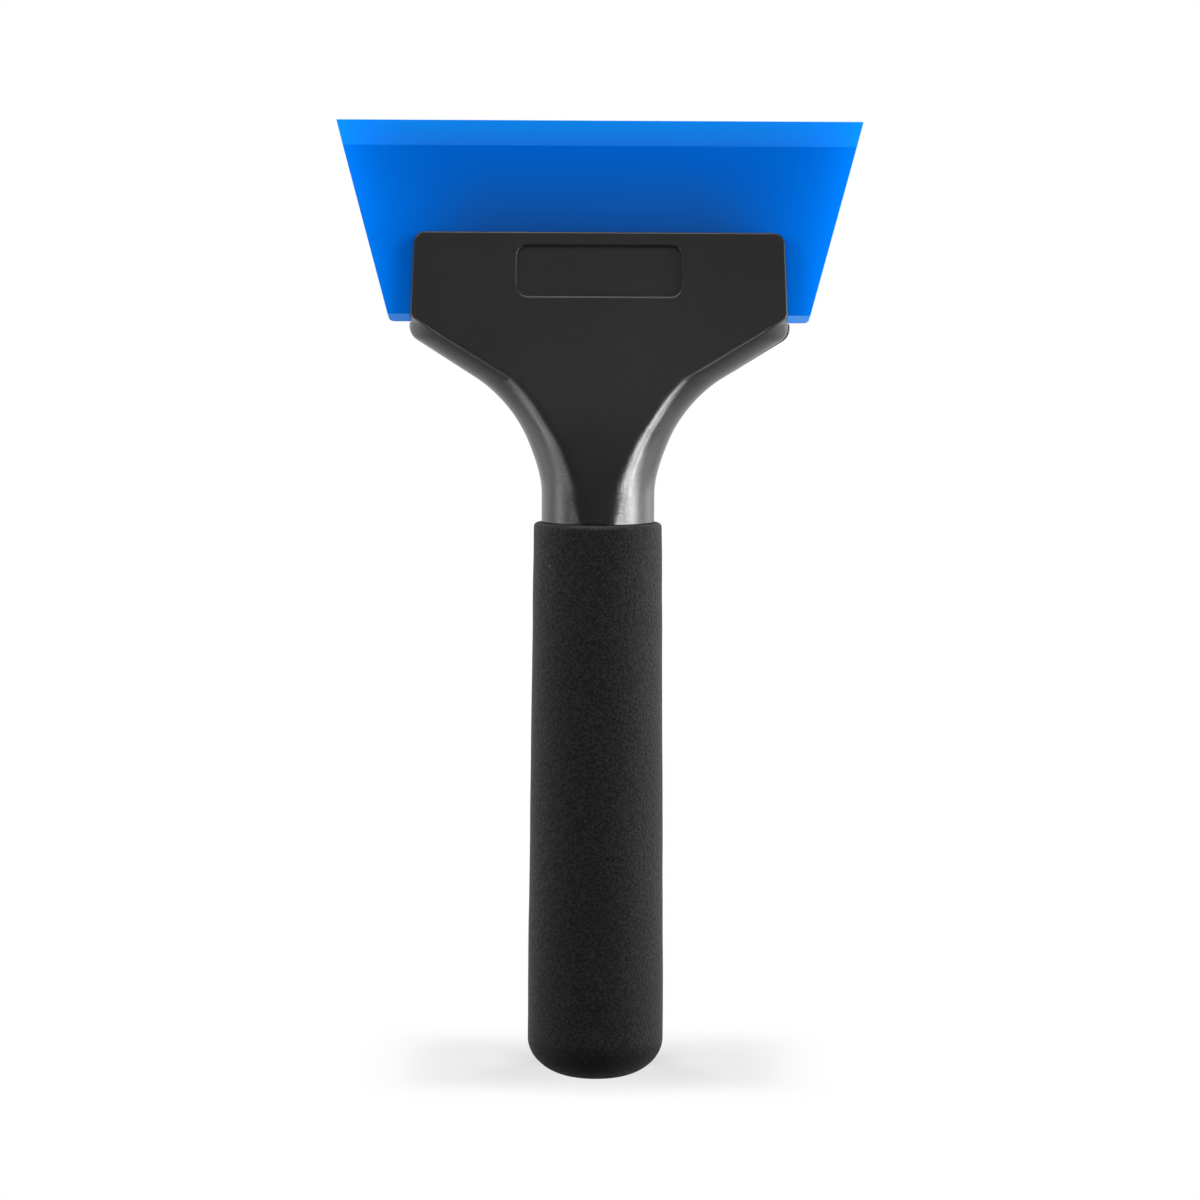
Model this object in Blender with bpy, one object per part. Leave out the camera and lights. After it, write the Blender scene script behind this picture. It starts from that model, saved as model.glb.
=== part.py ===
"""A long-handled hand squeegee: a thick plastic blade clamped in a wedge-shaped head.

The object stands upright. +Z runs up the handle to the blade, the front faces -Y, and the
origin is the middle of the grip's flat end. All sizes are in metres.
"""

import math

import bpy
import bmesh
from mathutils import Vector

MM = 0.001
PRECISION = 0.0001 * MM

# Fits
FIT = 0.3 * MM                      # gap between two pieces that touch
SEAM = 0.4 * MM                     # gap between the two jaws below the blade

# Blade
BLADE_WIDTH = 134.0 * MM            # along the working edge
BLADE_HEIGHT = 51.2 * MM
BLADE_THICKNESS = 5.0 * MM
BLADE_END_SLOPE = math.radians(15)
BLADE_SEAT_DEPTH = 23.0 * MM        # how far the blade goes into the head
EDGE_BEVEL_HEIGHT = 6.4 * MM
EDGE_THICKNESS = 1.4 * MM
FOOT_BEVEL_HEIGHT = 2.0 * MM
FOOT_BEVEL_DEPTH = 1.0 * MM
FOOT_CORNER_RADIUS = 1.4 * MM

# Head and neck, seen from the front
NECK_DIAMETER = 28.8 * MM
NECK_STRAIGHT = 7.2 * MM            # round neck above the grip, before it flares
NECK_FLARE_RADIUS = 35.0 * MM
SHOULDER_ANGLE = math.radians(31.7)
SHOULDER_RADIUS = 4.3 * MM
HEAD_WIDTH = 96.7 * MM              # across the shoulders
MOUTH_WIDTH = 94.5 * MM             # across the top of the jaws
MOUTH_CORNER_RADIUS = 3.0 * MM
JAW_SIDE_HEIGHT = 26.4 * MM         # shoulder to the top of the jaws

# Head and neck, seen from the side
MOUTH_THICKNESS = 13.6 * MM
FLAT_START = 1.8 * MM               # the flat faces begin this far above the grip
FLAT_INSET = 4.5 * MM               # rounded border between the flat face and the outline
FLAT_TIP = 0.5 * MM                 # half-width of the flat face where it begins
FLAT_BLEND = 20.0 * MM
SIDE_INSET = 1.0 * MM

# Bare label panel in the front face
PANEL_WIDTH = 43.0 * MM
PANEL_HEIGHT = 13.8 * MM
PANEL_CORNER_RADIUS = 3.0 * MM
PANEL_DEPTH = 1.0 * MM
PANEL_BELOW_MOUTH = 2.8 * MM

# Jaws
JAW_TOOTH_HEIGHT = 0.5 * MM
JAW_TOOTH_WIDTH = 1.4 * MM
JAW_TOOTH_PITCH = 4.4 * MM
JAW_TOOTH_MARGIN = 2.5 * MM         # from the blade's foot to the first tooth, and at the mouth
MOUTH_LEAD_IN = 0.8 * MM
SCREW_BELOW_BLADE = 8.8 * MM
JAW_BELOW_SCREW = 8.8 * MM
CORED_WALL = 3.0 * MM               # wall round the hollow moulded into each jaw

# Grip core, a tube moulded with the handle
GRIP_LENGTH = 142.7 * MM
CORE_STEP = 1.9 * MM                # the core is this much slimmer than the neck
CORE_WALL = 3.0 * MM
BORE_ABOVE_GRIP = 19.0 * MM
BORE_TIP_HEIGHT = 3.0 * MM
BORE_TIP_RADIUS = 4.0 * MM

# Foam grip
FOAM_WALL = 4.6 * MM
FOAM_WALL_AT_RIM = 3.6 * MM
FOAM_END_WALL = 6.5 * MM
FOAM_TAPER_START = 25.0 * MM        # from the end of the grip
FOAM_RIM_ROUND = 0.8 * MM
FOAM_END_ROUND_HEIGHT = 10.2 * MM
FOAM_END_FLAT_RADIUS = 3.6 * MM

# Plug in the end of the core
PLUG_FLANGE = 2.0 * MM
PLUG_STEM = 8.0 * MM
PLUG_WALL = 1.5 * MM

# Clamp screws, M4 x 14 with washers and brass inserts
SCREW_SPACING = 42.0 * MM
SCREW_DIAMETER = 4.0 * MM
SCREW_PAST_INSERT = 0.9 * MM
SCREW_TIP_CHAMFER = 0.8 * MM
SCREW_HEAD_DIAMETER = 8.0 * MM
SCREW_HEAD_HEIGHT = 2.6 * MM
SCREW_HEAD_ROUND = 0.8 * MM
CROSS_WIDTH = 4.4 * MM
CROSS_SLOT = 1.0 * MM
CROSS_DEPTH = 1.6 * MM
WASHER_DIAMETER = 9.0 * MM
WASHER_THICKNESS = 0.8 * MM
COUNTERBORE_FLOOR = 5.0 * MM        # plastic between the washer and the parting face
COUNTERBORE_CLEARANCE = 0.5 * MM
INSERT_WALL = 0.9 * MM
INSERT_LENGTH = 6.0 * MM

# Locating pegs between the jaws
PEG_DIAMETER = 3.0 * MM
PEG_LENGTH = 3.0 * MM
PEG_BELOW_BLADE = 5.3 * MM

# How finely the round shapes are faceted
BORDER_STEPS = 6
FLARE_STEPS = 11
CORNER_STEPS = 4
TURNED_STEPS = 32
SMALL_STEPS = 20
RIM_STEPS = 3
END_STEPS = 8
SMOOTH_ANGLE = math.radians(35)

# Sizes that follow from the ones above
NECK_RADIUS = NECK_DIAMETER / 2
CORE_RADIUS = NECK_RADIUS - CORE_STEP
BORE_RADIUS = CORE_RADIUS - CORE_WALL
FOAM_BORE_RADIUS = CORE_RADIUS + FIT
FOAM_RADIUS = FOAM_BORE_RADIUS + FOAM_WALL
FOAM_RIM_RADIUS = FOAM_BORE_RADIUS + FOAM_WALL_AT_RIM
COUNTERBORE_RADIUS = max(WASHER_DIAMETER, SCREW_HEAD_DIAMETER) / 2 + COUNTERBORE_CLEARANCE
SCREW_HOLE_RADIUS = SCREW_DIAMETER / 2 + FIT
INSERT_RADIUS = SCREW_HOLE_RADIUS + INSERT_WALL

# Heights
PLUG_Z = FOAM_END_WALL + FIT
CORE_END_Z = PLUG_Z + PLUG_FLANGE + FIT
NECK_Z = GRIP_LENGTH + FIT
FLAT_Z = GRIP_LENGTH + FLAT_START
FLARE_Z = GRIP_LENGTH + NECK_STRAIGHT
BORE_TOP_Z = GRIP_LENGTH + BORE_ABOVE_GRIP
FLARE_X = NECK_RADIUS + NECK_FLARE_RADIUS
SHOULDER_X = HEAD_WIDTH / 2
SHOULDER_Z = FLARE_Z + (
    NECK_FLARE_RADIUS - (FLARE_X - SHOULDER_X) * math.sin(SHOULDER_ANGLE)
) / math.cos(SHOULDER_ANGLE)
MOUTH_Z = SHOULDER_Z + JAW_SIDE_HEIGHT
SEAT_Z = MOUTH_Z - BLADE_SEAT_DEPTH
SLOT_FLOOR_Z = SEAT_Z - FIT
SCREW_Z = SEAT_Z - SCREW_BELOW_BLADE
JAW_END_Z = SCREW_Z - JAW_BELOW_SCREW
PEG_Z = SEAT_Z - PEG_BELOW_BLADE

# Depths from the parting plane, y = 0
PARTING_Y = SEAM / 2
TOOTH_TIP_Y = BLADE_THICKNESS / 2 + FIT
SLOT_WALL_Y = TOOTH_TIP_Y + JAW_TOOTH_HEIGHT
COUNTERBORE_Y = PARTING_Y + COUNTERBORE_FLOOR
WASHER_Y = COUNTERBORE_Y + FIT
SCREW_HEAD_Y = WASHER_Y + WASHER_THICKNESS + FIT
INSERT_END_Y = -PARTING_Y - FIT - INSERT_LENGTH
SCREW_TIP_Y = INSERT_END_Y - SCREW_PAST_INSERT
SCREW_LENGTH = SCREW_HEAD_Y - SCREW_TIP_Y
OUTSIDE = HEAD_WIDTH                # far enough for a cutter to clear the head

COLOURS = {
    "handle plastic": ((0.035, 0.035, 0.036, 1.0), 0.50, 0.0),
    "jaw plastic": ((0.035, 0.035, 0.036, 1.0), 0.50, 0.0),
    "blue polyurethane": ((0.01, 0.17, 0.95, 1.0), 0.22, 0.0),
    "black foam": ((0.030, 0.030, 0.031, 1.0), 0.92, 0.0),
    "plated steel": ((0.62, 0.62, 0.60, 1.0), 0.32, 1.0),
    "insert brass": ((0.72, 0.50, 0.22, 1.0), 0.35, 1.0),
    "plug plastic": ((0.05, 0.05, 0.05, 1.0), 0.60, 0.0),
}


def clear_scene():
    """Remove whatever a new file holds."""
    for thing in list(bpy.data.objects):
        bpy.data.objects.remove(thing)


def finish_material(name):
    """One Principled material, made the first time it is asked for."""
    material = bpy.data.materials.get(name)
    if material is None:
        material = bpy.data.materials.new(name)
        material.use_nodes = True
        shader = material.node_tree.nodes["Principled BSDF"]
        colour, roughness, metallic = COLOURS[name]
        shader.inputs["Base Color"].default_value = colour
        shader.inputs["Roughness"].default_value = roughness
        shader.inputs["Metallic"].default_value = metallic
    return material


def make_object(name, shape, material=None):
    """Turn a bmesh into an object with outward faces and round stretches shaded smooth."""
    bmesh.ops.recalc_face_normals(shape, faces=shape.faces)
    mesh = bpy.data.meshes.new(name)
    shape.to_mesh(mesh)
    shape.free()
    mesh.shade_smooth()
    mesh.set_sharp_from_angle(angle=SMOOTH_ANGLE)
    made = bpy.data.objects.new(name, mesh)
    bpy.context.scene.collection.objects.link(made)
    if material:
        mesh.materials.append(finish_material(material))
    return made


def set_origin(made, point):
    """Move an object's origin to a point and leave its shape where it is."""
    offset = Vector(point)
    for vertex in made.data.vertices:
        vertex.co -= offset
    made.location = offset


def skin(rings, closed=False):
    """Join rings of equally many points into a solid: capped, or closed round like a tyre."""
    shape = bmesh.new()
    loops = [[shape.verts.new(point) for point in ring] for ring in rings]
    pairs = list(zip(loops, loops[1:]))
    if closed:
        pairs.append((loops[-1], loops[0]))
    else:
        shape.faces.new(loops[0])
        shape.faces.new(loops[-1])
    count = len(loops[0])
    for lower, upper in pairs:
        for index in range(count):
            after = (index + 1) % count
            shape.faces.new((lower[index], lower[after], upper[after], upper[index]))
    return shape


def circle(radius, height, steps):
    """Points of a level circle round the Z axis."""
    turn = 2 * math.pi / steps
    return [
        (radius * math.cos(turn * step), radius * math.sin(turn * step), height)
        for step in range(steps)
    ]


def turned(profile, steps, closed=False):
    """Turn a profile of (radius, height) points round the Z axis."""
    return skin([circle(radius, height, steps) for radius, height in profile], closed)


def extruded(outline, start, end):
    """Run an outline of (y, z) points along X."""
    rings = [[(x, y, z) for y, z in outline] for x in (start, end)]
    return skin(rings)


def lie_along_y(made, x, y, z):
    """Stand a piece that was turned round Z on the +Y direction, at a point."""
    made.rotation_euler = (-math.pi / 2, 0, 0)
    made.location = (x, y, z)


def boolean(target, tool, operation="DIFFERENCE"):
    """Cut a tool out of a piece, or join it on. The tool itself stays as a guide."""
    modifier = target.modifiers.new(tool.name, "BOOLEAN")
    modifier.operation = operation
    modifier.object = tool
    tool.hide_render = True
    tool.display_type = "WIRE"


def fillet(before, corner, after, radius, steps):
    """Points of the arc that rounds a corner between two straight lines."""
    corner = Vector(corner)
    back = (Vector(before) - corner).normalized()
    ahead = (Vector(after) - corner).normalized()
    half_angle = back.angle(ahead) / 2
    reach = radius / math.tan(half_angle)
    centre = corner + (back + ahead).normalized() * radius / math.sin(half_angle)
    first = corner + back * reach - centre
    last = corner + ahead * reach - centre
    sweep = first.angle_signed(last)
    points = []
    for step in range(steps + 1):
        turn = -sweep * step / steps
        cosine = math.cos(turn)
        sine = math.sin(turn)
        arm = Vector((first.x * cosine - first.y * sine, first.x * sine + first.y * cosine))
        points.append(centre + arm)
    return points


def flare_arc():
    """The hollow curve from the neck out to the sloping shoulder, as (x, z) points."""
    sweep = math.pi / 2 - SHOULDER_ANGLE
    points = []
    for step in range(FLARE_STEPS + 1):
        turn = sweep * step / FLARE_STEPS
        x = FLARE_X - NECK_FLARE_RADIUS * math.cos(turn)
        points.append(Vector((x, FLARE_Z + NECK_FLARE_RADIUS * math.sin(turn))))
    return points


def front_outline():
    """Half of the front view's outline, from the neck up to the top of the jaws."""
    flare = flare_arc()
    shoulder = Vector((SHOULDER_X, SHOULDER_Z))
    mouth_corner = Vector((MOUTH_WIDTH / 2, MOUTH_Z))
    mouth_middle = Vector((0, MOUTH_Z))
    outline = [Vector((NECK_RADIUS, NECK_Z)), Vector((NECK_RADIUS, FLAT_Z))]
    outline += flare
    outline += fillet(flare[-1], shoulder, mouth_corner, SHOULDER_RADIUS, CORNER_STEPS)
    outline += fillet(shoulder, mouth_corner, mouth_middle, MOUTH_CORNER_RADIUS, CORNER_STEPS)
    return outline


OUTLINE = front_outline()


def half_width(height):
    """Half of the neck's or head's full width at a height."""
    for low, high in zip(OUTLINE, OUTLINE[1:]):
        if height <= high.y:
            share = max(0.0, (height - low.y) / (high.y - low.y))
            return low.x + share * (high.x - low.x)
    return OUTLINE[-1].x


def face_depth(height):
    """How far the front and rear flat faces lie from the parting plane."""
    deepest = math.sqrt(NECK_RADIUS ** 2 - FLAT_TIP ** 2)
    lean = (NECK_RADIUS - MOUTH_THICKNESS / 2) / (MOUTH_Z - FLAT_Z)
    return min(deepest, NECK_RADIUS - (height - FLAT_Z) * lean)


def shoulder_inset(height):
    """Half-width of a line that runs a border's width inside the flare and the shoulder."""
    radius = NECK_FLARE_RADIUS + FLAT_INSET
    bend_height = FLARE_Z + radius * math.cos(SHOULDER_ANGLE)
    if height < bend_height:
        rise = max(0.0, height - FLARE_Z)
        return FLARE_X - math.sqrt(radius ** 2 - rise ** 2)
    bend_x = FLARE_X - radius * math.sin(SHOULDER_ANGLE)
    return bend_x + (height - bend_height) / math.tan(SHOULDER_ANGLE)


def flat_half_width(height):
    """Half-width of the flat face: a plain cut on the neck, a bordered one on the head."""
    plain_cut = math.sqrt(NECK_RADIUS ** 2 - face_depth(height) ** 2)
    share = min(1.0, max(0.0, (height - FLARE_Z) / FLAT_BLEND))
    share = share * share * (3 - 2 * share)
    bordered = min(shoulder_inset(height), half_width(height) - SIDE_INSET)
    return plain_cut + share * (bordered - plain_cut)


def side_crossing():
    """Height at which the shoulder's border runs out on the jaws' side edge, by halving."""
    low = SHOULDER_Z
    high = MOUTH_Z - MOUTH_CORNER_RADIUS
    while high - low > PRECISION:
        middle = (low + high) / 2
        if shoulder_inset(middle) < half_width(middle) - SIDE_INSET:
            low = middle
        else:
            high = middle
    return low


def head_section(height):
    """One level section: flat in front and behind, and round at both sides."""
    depth = face_depth(height)
    side = half_width(height)
    flat = flat_half_width(height)
    sweep = math.asin(depth / NECK_RADIUS)
    reach = (side - flat) / (1 - math.cos(sweep))
    first = math.asin(PARTING_Y / NECK_RADIUS)
    quarter = []
    for step in range(BORDER_STEPS + 1):
        turn = first + (sweep - first) * step / BORDER_STEPS
        x = side - reach * (1 - math.cos(turn))
        quarter.append((x, NECK_RADIUS * math.sin(turn)))
    front = [(x, -y, height) for x, y in quarter]
    front += [(-x, -y, height) for x, y in reversed(quarter)]
    rear = [(-x, -y, height) for x, y, height in front]
    return front + rear


def head_heights(lowest):
    """Heights of the sections, from a lowest one up to the top of the jaws."""
    heights = {point.y for point in OUTLINE}
    heights.update((JAW_END_Z, SLOT_FLOOR_Z, side_crossing()))
    return [lowest] + sorted(height for height in heights if height > lowest + FIT)


def core_section(radius, height):
    """A round section with its points at the same angles as the neck's section."""
    shrink = radius / NECK_RADIUS
    return [(x * shrink, y * shrink, height) for x, y, _ in head_section(NECK_Z)]


def jaw_space(side):
    """What lies on the far side of a jaw's inner face: side is -1 for the front jaw."""
    reach = -side * OUTSIDE
    top = MOUTH_Z + OUTSIDE
    wall = side * SLOT_WALL_Y
    tip = side * TOOTH_TIP_Y
    outline = [(reach, JAW_END_Z), (side * PARTING_Y, JAW_END_Z)]
    outline += [(side * PARTING_Y, SLOT_FLOOR_Z), (wall, SLOT_FLOOR_Z)]
    tooth = SEAT_Z + JAW_TOOTH_MARGIN
    while tooth + JAW_TOOTH_WIDTH < MOUTH_Z - JAW_TOOTH_MARGIN:
        outline += [(wall, tooth), (tip, tooth + JAW_TOOTH_WIDTH / 2)]
        outline += [(wall, tooth + JAW_TOOTH_WIDTH)]
        tooth += JAW_TOOTH_PITCH
    outline += [(wall, MOUTH_Z - MOUTH_LEAD_IN)]
    outline += [(wall + side * MOUTH_LEAD_IN, MOUTH_Z), (wall + side * MOUTH_LEAD_IN, top)]
    outline += [(reach, top)]
    return extruded(outline, -OUTSIDE, OUTSIDE)


def cored_hollow(side):
    """The hollow moulded into a jaw's parting face, between the two screws."""
    half = SCREW_SPACING / 2 - COUNTERBORE_RADIUS - CORED_WALL
    low = JAW_END_Z + CORED_WALL
    high = SLOT_FLOOR_Z - CORED_WALL
    floor = side * (face_depth(high) - CORED_WALL)
    outline = [(0, low), (floor, low), (floor, high), (0, high)]
    return extruded(outline, -half, half)


def label_panel_cutter():
    """A rounded block that sinks the bare label panel into the front face."""
    lean = math.atan2(face_depth(SEAT_Z) - face_depth(MOUTH_Z), MOUTH_Z - SEAT_Z)
    half_x = PANEL_WIDTH / 2
    half_z = PANEL_HEIGHT / 2
    corners = [(-half_x, -half_z), (half_x, -half_z), (half_x, half_z), (-half_x, half_z)]
    outline = []
    for index, corner in enumerate(corners):
        before = corners[index - 1]
        after = corners[(index + 1) % len(corners)]
        outline += fillet(before, corner, after, PANEL_CORNER_RADIUS, CORNER_STEPS)
    rings = [[(point.x, y, point.y) for point in outline] for y in (-PANEL_DEPTH, PANEL_DEPTH)]
    cutter = make_object("guide_label_panel", skin(rings))
    centre_z = MOUTH_Z - PANEL_BELOW_MOUTH - half_z
    cutter.location = (0, -face_depth(centre_z), centre_z)
    cutter.rotation_euler = (-lean, 0, 0)
    return cutter


def screw_places():
    """The two screws' sides and their x positions."""
    return (("left", -SCREW_SPACING / 2), ("right", SCREW_SPACING / 2))


def peg_places():
    """The two locating pegs, midway between a screw and the side of the head."""
    reach = (SCREW_SPACING / 2 + half_width(PEG_Z)) / 2
    return (("left", -reach), ("right", reach))


def round_tool(name, profile, x, z, target, operation="DIFFERENCE"):
    """Turn a tool, lay it along Y at the parting plane, and use it on a piece."""
    tool = make_object(name, turned(profile, SMALL_STEPS))
    lie_along_y(tool, x, 0, z)
    boolean(target, tool, operation)


def build_handle_body():
    """Front jaw, neck and hollow grip core in one moulding."""
    rings = [
        core_section(BORE_TIP_RADIUS, BORE_TOP_Z),
        core_section(BORE_RADIUS, BORE_TOP_Z - BORE_TIP_HEIGHT),
        core_section(BORE_RADIUS, CORE_END_Z),
        core_section(CORE_RADIUS, CORE_END_Z),
        core_section(CORE_RADIUS, NECK_Z),
    ]
    rings += [head_section(height) for height in head_heights(NECK_Z)]
    body = make_object("handle_body", skin(rings), "handle plastic")
    boolean(body, make_object("guide_rear_jaw_space", jaw_space(-1)))
    boolean(body, make_object("guide_front_hollow", cored_hollow(-1)))
    boolean(body, label_panel_cutter())
    pocket_radius = INSERT_RADIUS + FIT
    pocket_y = SCREW_TIP_Y - FIT
    for side, x in screw_places():
        pocket = [(pocket_radius, pocket_y), (pocket_radius, -pocket_y)]
        round_tool("guide_insert_pocket_" + side, pocket, x, SCREW_Z, body)
    hole_radius = PEG_DIAMETER / 2 + FIT
    hole_y = PARTING_Y + PEG_LENGTH + FIT
    for side, x in peg_places():
        hole = [(hole_radius, -hole_y), (hole_radius, hole_y)]
        round_tool("guide_peg_hole_" + side, hole, x, PEG_Z, body)


def build_rear_jaw():
    """The rear half of the head, pulled against the blade by two screws."""
    rings = [head_section(height) for height in head_heights(JAW_END_Z + SEAM)]
    jaw = make_object("rear_jaw", skin(rings), "jaw plastic")
    boolean(jaw, make_object("guide_front_jaw_space", jaw_space(1)))
    boolean(jaw, make_object("guide_rear_hollow", cored_hollow(1)))
    counterbore = [
        (SCREW_HOLE_RADIUS, -COUNTERBORE_Y),
        (SCREW_HOLE_RADIUS, COUNTERBORE_Y),
        (COUNTERBORE_RADIUS, COUNTERBORE_Y),
        (COUNTERBORE_RADIUS, OUTSIDE),
    ]
    for side, x in screw_places():
        round_tool("guide_counterbore_" + side, counterbore, x, SCREW_Z, jaw)
    peg_radius = PEG_DIAMETER / 2
    peg_y = PARTING_Y + PEG_LENGTH
    peg = [(peg_radius, PARTING_Y - PEG_LENGTH), (peg_radius, peg_y)]
    for side, x in peg_places():
        round_tool("guide_peg_" + side, peg, x, PEG_Z, jaw, "UNION")
    set_origin(jaw, (0, 0, SCREW_Z))


def build_blade():
    """The trapezoid blade: a bevelled working edge on top and a small bevel at its foot."""
    top_z = SEAT_Z + BLADE_HEIGHT
    slope = math.tan(BLADE_END_SLOPE)
    half_top = BLADE_WIDTH / 2
    half_foot = half_top - BLADE_HEIGHT * slope
    foot_corner = (half_foot, SEAT_Z)
    corner = fillet((0, SEAT_Z), foot_corner, (half_top, top_z), FOOT_CORNER_RADIUS, CORNER_STEPS)
    bevel_z = SEAT_Z + FOOT_BEVEL_HEIGHT
    edge_z = top_z - EDGE_BEVEL_HEIGHT
    side = [(point.x, point.y) for point in corner if point.y < bevel_z]
    for height in (bevel_z, edge_z, top_z):
        side.append((half_top - (top_z - height) * slope, height))
    rings = []
    for x, height in side:
        foot_share = min(1.0, (height - SEAT_Z) / FOOT_BEVEL_HEIGHT)
        depth = BLADE_THICKNESS / 2 - FOOT_BEVEL_DEPTH * (1 - foot_share)
        if height > edge_z:
            depth = EDGE_THICKNESS / 2
        corners = ((-x, -depth), (x, -depth), (x, depth), (-x, depth))
        rings.append([(a, b, height) for a, b in corners])
    blade = make_object("blade", skin(rings), "blue polyurethane")
    set_origin(blade, (0, 0, SEAT_Z))


def build_foam_grip():
    """A foam sleeve with a closed round end, pushed over the core."""
    profile = [(FOAM_BORE_RADIUS, FOAM_END_WALL), (FOAM_BORE_RADIUS, GRIP_LENGTH)]
    for step in range(RIM_STEPS + 1):
        turn = math.pi / 2 * step / RIM_STEPS
        radius = FOAM_RIM_RADIUS - FOAM_RIM_ROUND * (1 - math.sin(turn))
        profile.append((radius, GRIP_LENGTH - FOAM_RIM_ROUND * (1 - math.cos(turn))))
    profile.append((FOAM_RADIUS, FOAM_TAPER_START))
    reach = FOAM_RADIUS - FOAM_END_FLAT_RADIUS
    for step in range(END_STEPS + 1):
        turn = math.pi / 2 * step / END_STEPS
        radius = FOAM_END_FLAT_RADIUS + reach * math.cos(turn)
        profile.append((radius, FOAM_END_ROUND_HEIGHT * (1 - math.sin(turn))))
    make_object("foam_grip", turned(profile, TURNED_STEPS), "black foam")


def build_core_end_plug():
    """A cup-shaped plug that closes the end of the hollow core."""
    stem_radius = BORE_RADIUS - FIT
    stem_top = PLUG_Z + PLUG_FLANGE + PLUG_STEM
    profile = [
        (CORE_RADIUS, PLUG_Z),
        (CORE_RADIUS, PLUG_Z + PLUG_FLANGE),
        (stem_radius, PLUG_Z + PLUG_FLANGE),
        (stem_radius, stem_top),
        (stem_radius - PLUG_WALL, stem_top),
        (stem_radius - PLUG_WALL, PLUG_Z + PLUG_FLANGE),
    ]
    make_object("core_end_plug", turned(profile, TURNED_STEPS), "plug plastic")


def cross_cutter(name, x):
    """A cross-shaped prism for the driver recess of a screw."""
    arm = CROSS_WIDTH / 2
    slot = CROSS_SLOT / 2
    corner = [(arm, -slot), (arm, slot), (slot, slot)]
    outline = []
    for quarter in range(4):
        turn = quarter * math.pi / 2
        cosine = round(math.cos(turn))
        sine = round(math.sin(turn))
        outline += [(a * cosine - b * sine, a * sine + b * cosine) for a, b in corner]
    low = SCREW_HEAD_HEIGHT - CROSS_DEPTH
    high = SCREW_HEAD_HEIGHT + CROSS_DEPTH
    rings = [[(a, b, height) for a, b in outline] for height in (low, high)]
    cutter = make_object(name, skin(rings))
    lie_along_y(cutter, x, SCREW_HEAD_Y, SCREW_Z)
    return cutter


def build_screw(side, x):
    """A pan-head screw with a cross recess. Its origin is under its head, on its axis."""
    head_radius = SCREW_HEAD_DIAMETER / 2
    shank_radius = SCREW_DIAMETER / 2
    profile = [
        (shank_radius - SCREW_TIP_CHAMFER, -SCREW_LENGTH),
        (shank_radius, SCREW_TIP_CHAMFER - SCREW_LENGTH),
        (shank_radius, 0),
        (head_radius, 0),
        (head_radius, SCREW_HEAD_HEIGHT - 2 * SCREW_HEAD_ROUND),
        (head_radius - SCREW_HEAD_ROUND / 2, SCREW_HEAD_HEIGHT - SCREW_HEAD_ROUND / 2),
        (head_radius - 2 * SCREW_HEAD_ROUND, SCREW_HEAD_HEIGHT),
    ]
    screw = make_object("clamp_screw_" + side, turned(profile, SMALL_STEPS), "plated steel")
    lie_along_y(screw, x, SCREW_HEAD_Y, SCREW_Z)
    boolean(screw, cross_cutter("guide_cross_" + side, x))


def build_collar(name, radius, length, x, y, material):
    """A round collar with the screws' hole through it, on a screw's axis."""
    profile = [
        (SCREW_HOLE_RADIUS, 0),
        (radius, 0),
        (radius, length),
        (SCREW_HOLE_RADIUS, length),
    ]
    collar = make_object(name, turned(profile, SMALL_STEPS, True), material)
    lie_along_y(collar, x, y, SCREW_Z)


def build_washer(side, x):
    """A flat washer between a screw's head and the bottom of its counterbore."""
    name = "screw_washer_" + side
    build_collar(name, WASHER_DIAMETER / 2, WASHER_THICKNESS, x, WASHER_Y, "plated steel")


def build_insert(side, x):
    """A threaded brass insert, sunk in the front jaw's parting face."""
    name = "thread_insert_" + side
    build_collar(name, INSERT_RADIUS, INSERT_LENGTH, x, INSERT_END_Y, "insert brass")


def build_squeegee():
    """Build every piece in its place."""
    clear_scene()
    build_handle_body()
    build_rear_jaw()
    build_blade()
    build_foam_grip()
    build_core_end_plug()
    for side, x in screw_places():
        build_screw(side, x)
        build_washer(side, x)
        build_insert(side, x)


build_squeegee()
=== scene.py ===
# %% [markdown]
# # A long-handled squeegee
# The tool is a thick blue plastic blade, held between two black jaws, on a round neck that
# runs into a foam grip. The measured model is loaded first, with its moving bodies. Each
# cell below then makes a piece or a finish of the real tool, and each piece is hung on the
# body that it belongs to.

# %% Load the measured model
import math

import bmesh
import bpy
import numpy as np
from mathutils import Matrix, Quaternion, Vector


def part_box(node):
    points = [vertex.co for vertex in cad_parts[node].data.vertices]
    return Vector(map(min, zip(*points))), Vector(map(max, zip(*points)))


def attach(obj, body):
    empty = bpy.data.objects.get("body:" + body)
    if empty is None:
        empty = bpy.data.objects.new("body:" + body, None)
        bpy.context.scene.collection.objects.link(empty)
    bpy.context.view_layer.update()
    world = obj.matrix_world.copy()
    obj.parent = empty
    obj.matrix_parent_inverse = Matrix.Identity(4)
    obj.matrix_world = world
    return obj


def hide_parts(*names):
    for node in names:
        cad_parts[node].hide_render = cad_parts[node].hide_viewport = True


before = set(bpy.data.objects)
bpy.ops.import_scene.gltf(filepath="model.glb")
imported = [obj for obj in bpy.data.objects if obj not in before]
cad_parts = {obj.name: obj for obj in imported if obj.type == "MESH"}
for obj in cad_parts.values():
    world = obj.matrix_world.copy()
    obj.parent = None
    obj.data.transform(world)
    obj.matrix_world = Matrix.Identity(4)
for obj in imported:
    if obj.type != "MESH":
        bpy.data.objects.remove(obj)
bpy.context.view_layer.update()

MM = 0.001

# %% [markdown]
# ## The camera
# The tool was photographed from the front with a long lens, from a little above: the grip's
# rim shows as a very flat ellipse. A lens far away keeps the sides parallel. The camera
# stands in front, a bit above the middle, and is tipped down so that the tool fills the
# frame as it does in the picture. It is also turned about its own axis by a hair, because
# the blade's top edge drops by three pixels from left to right.

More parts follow.
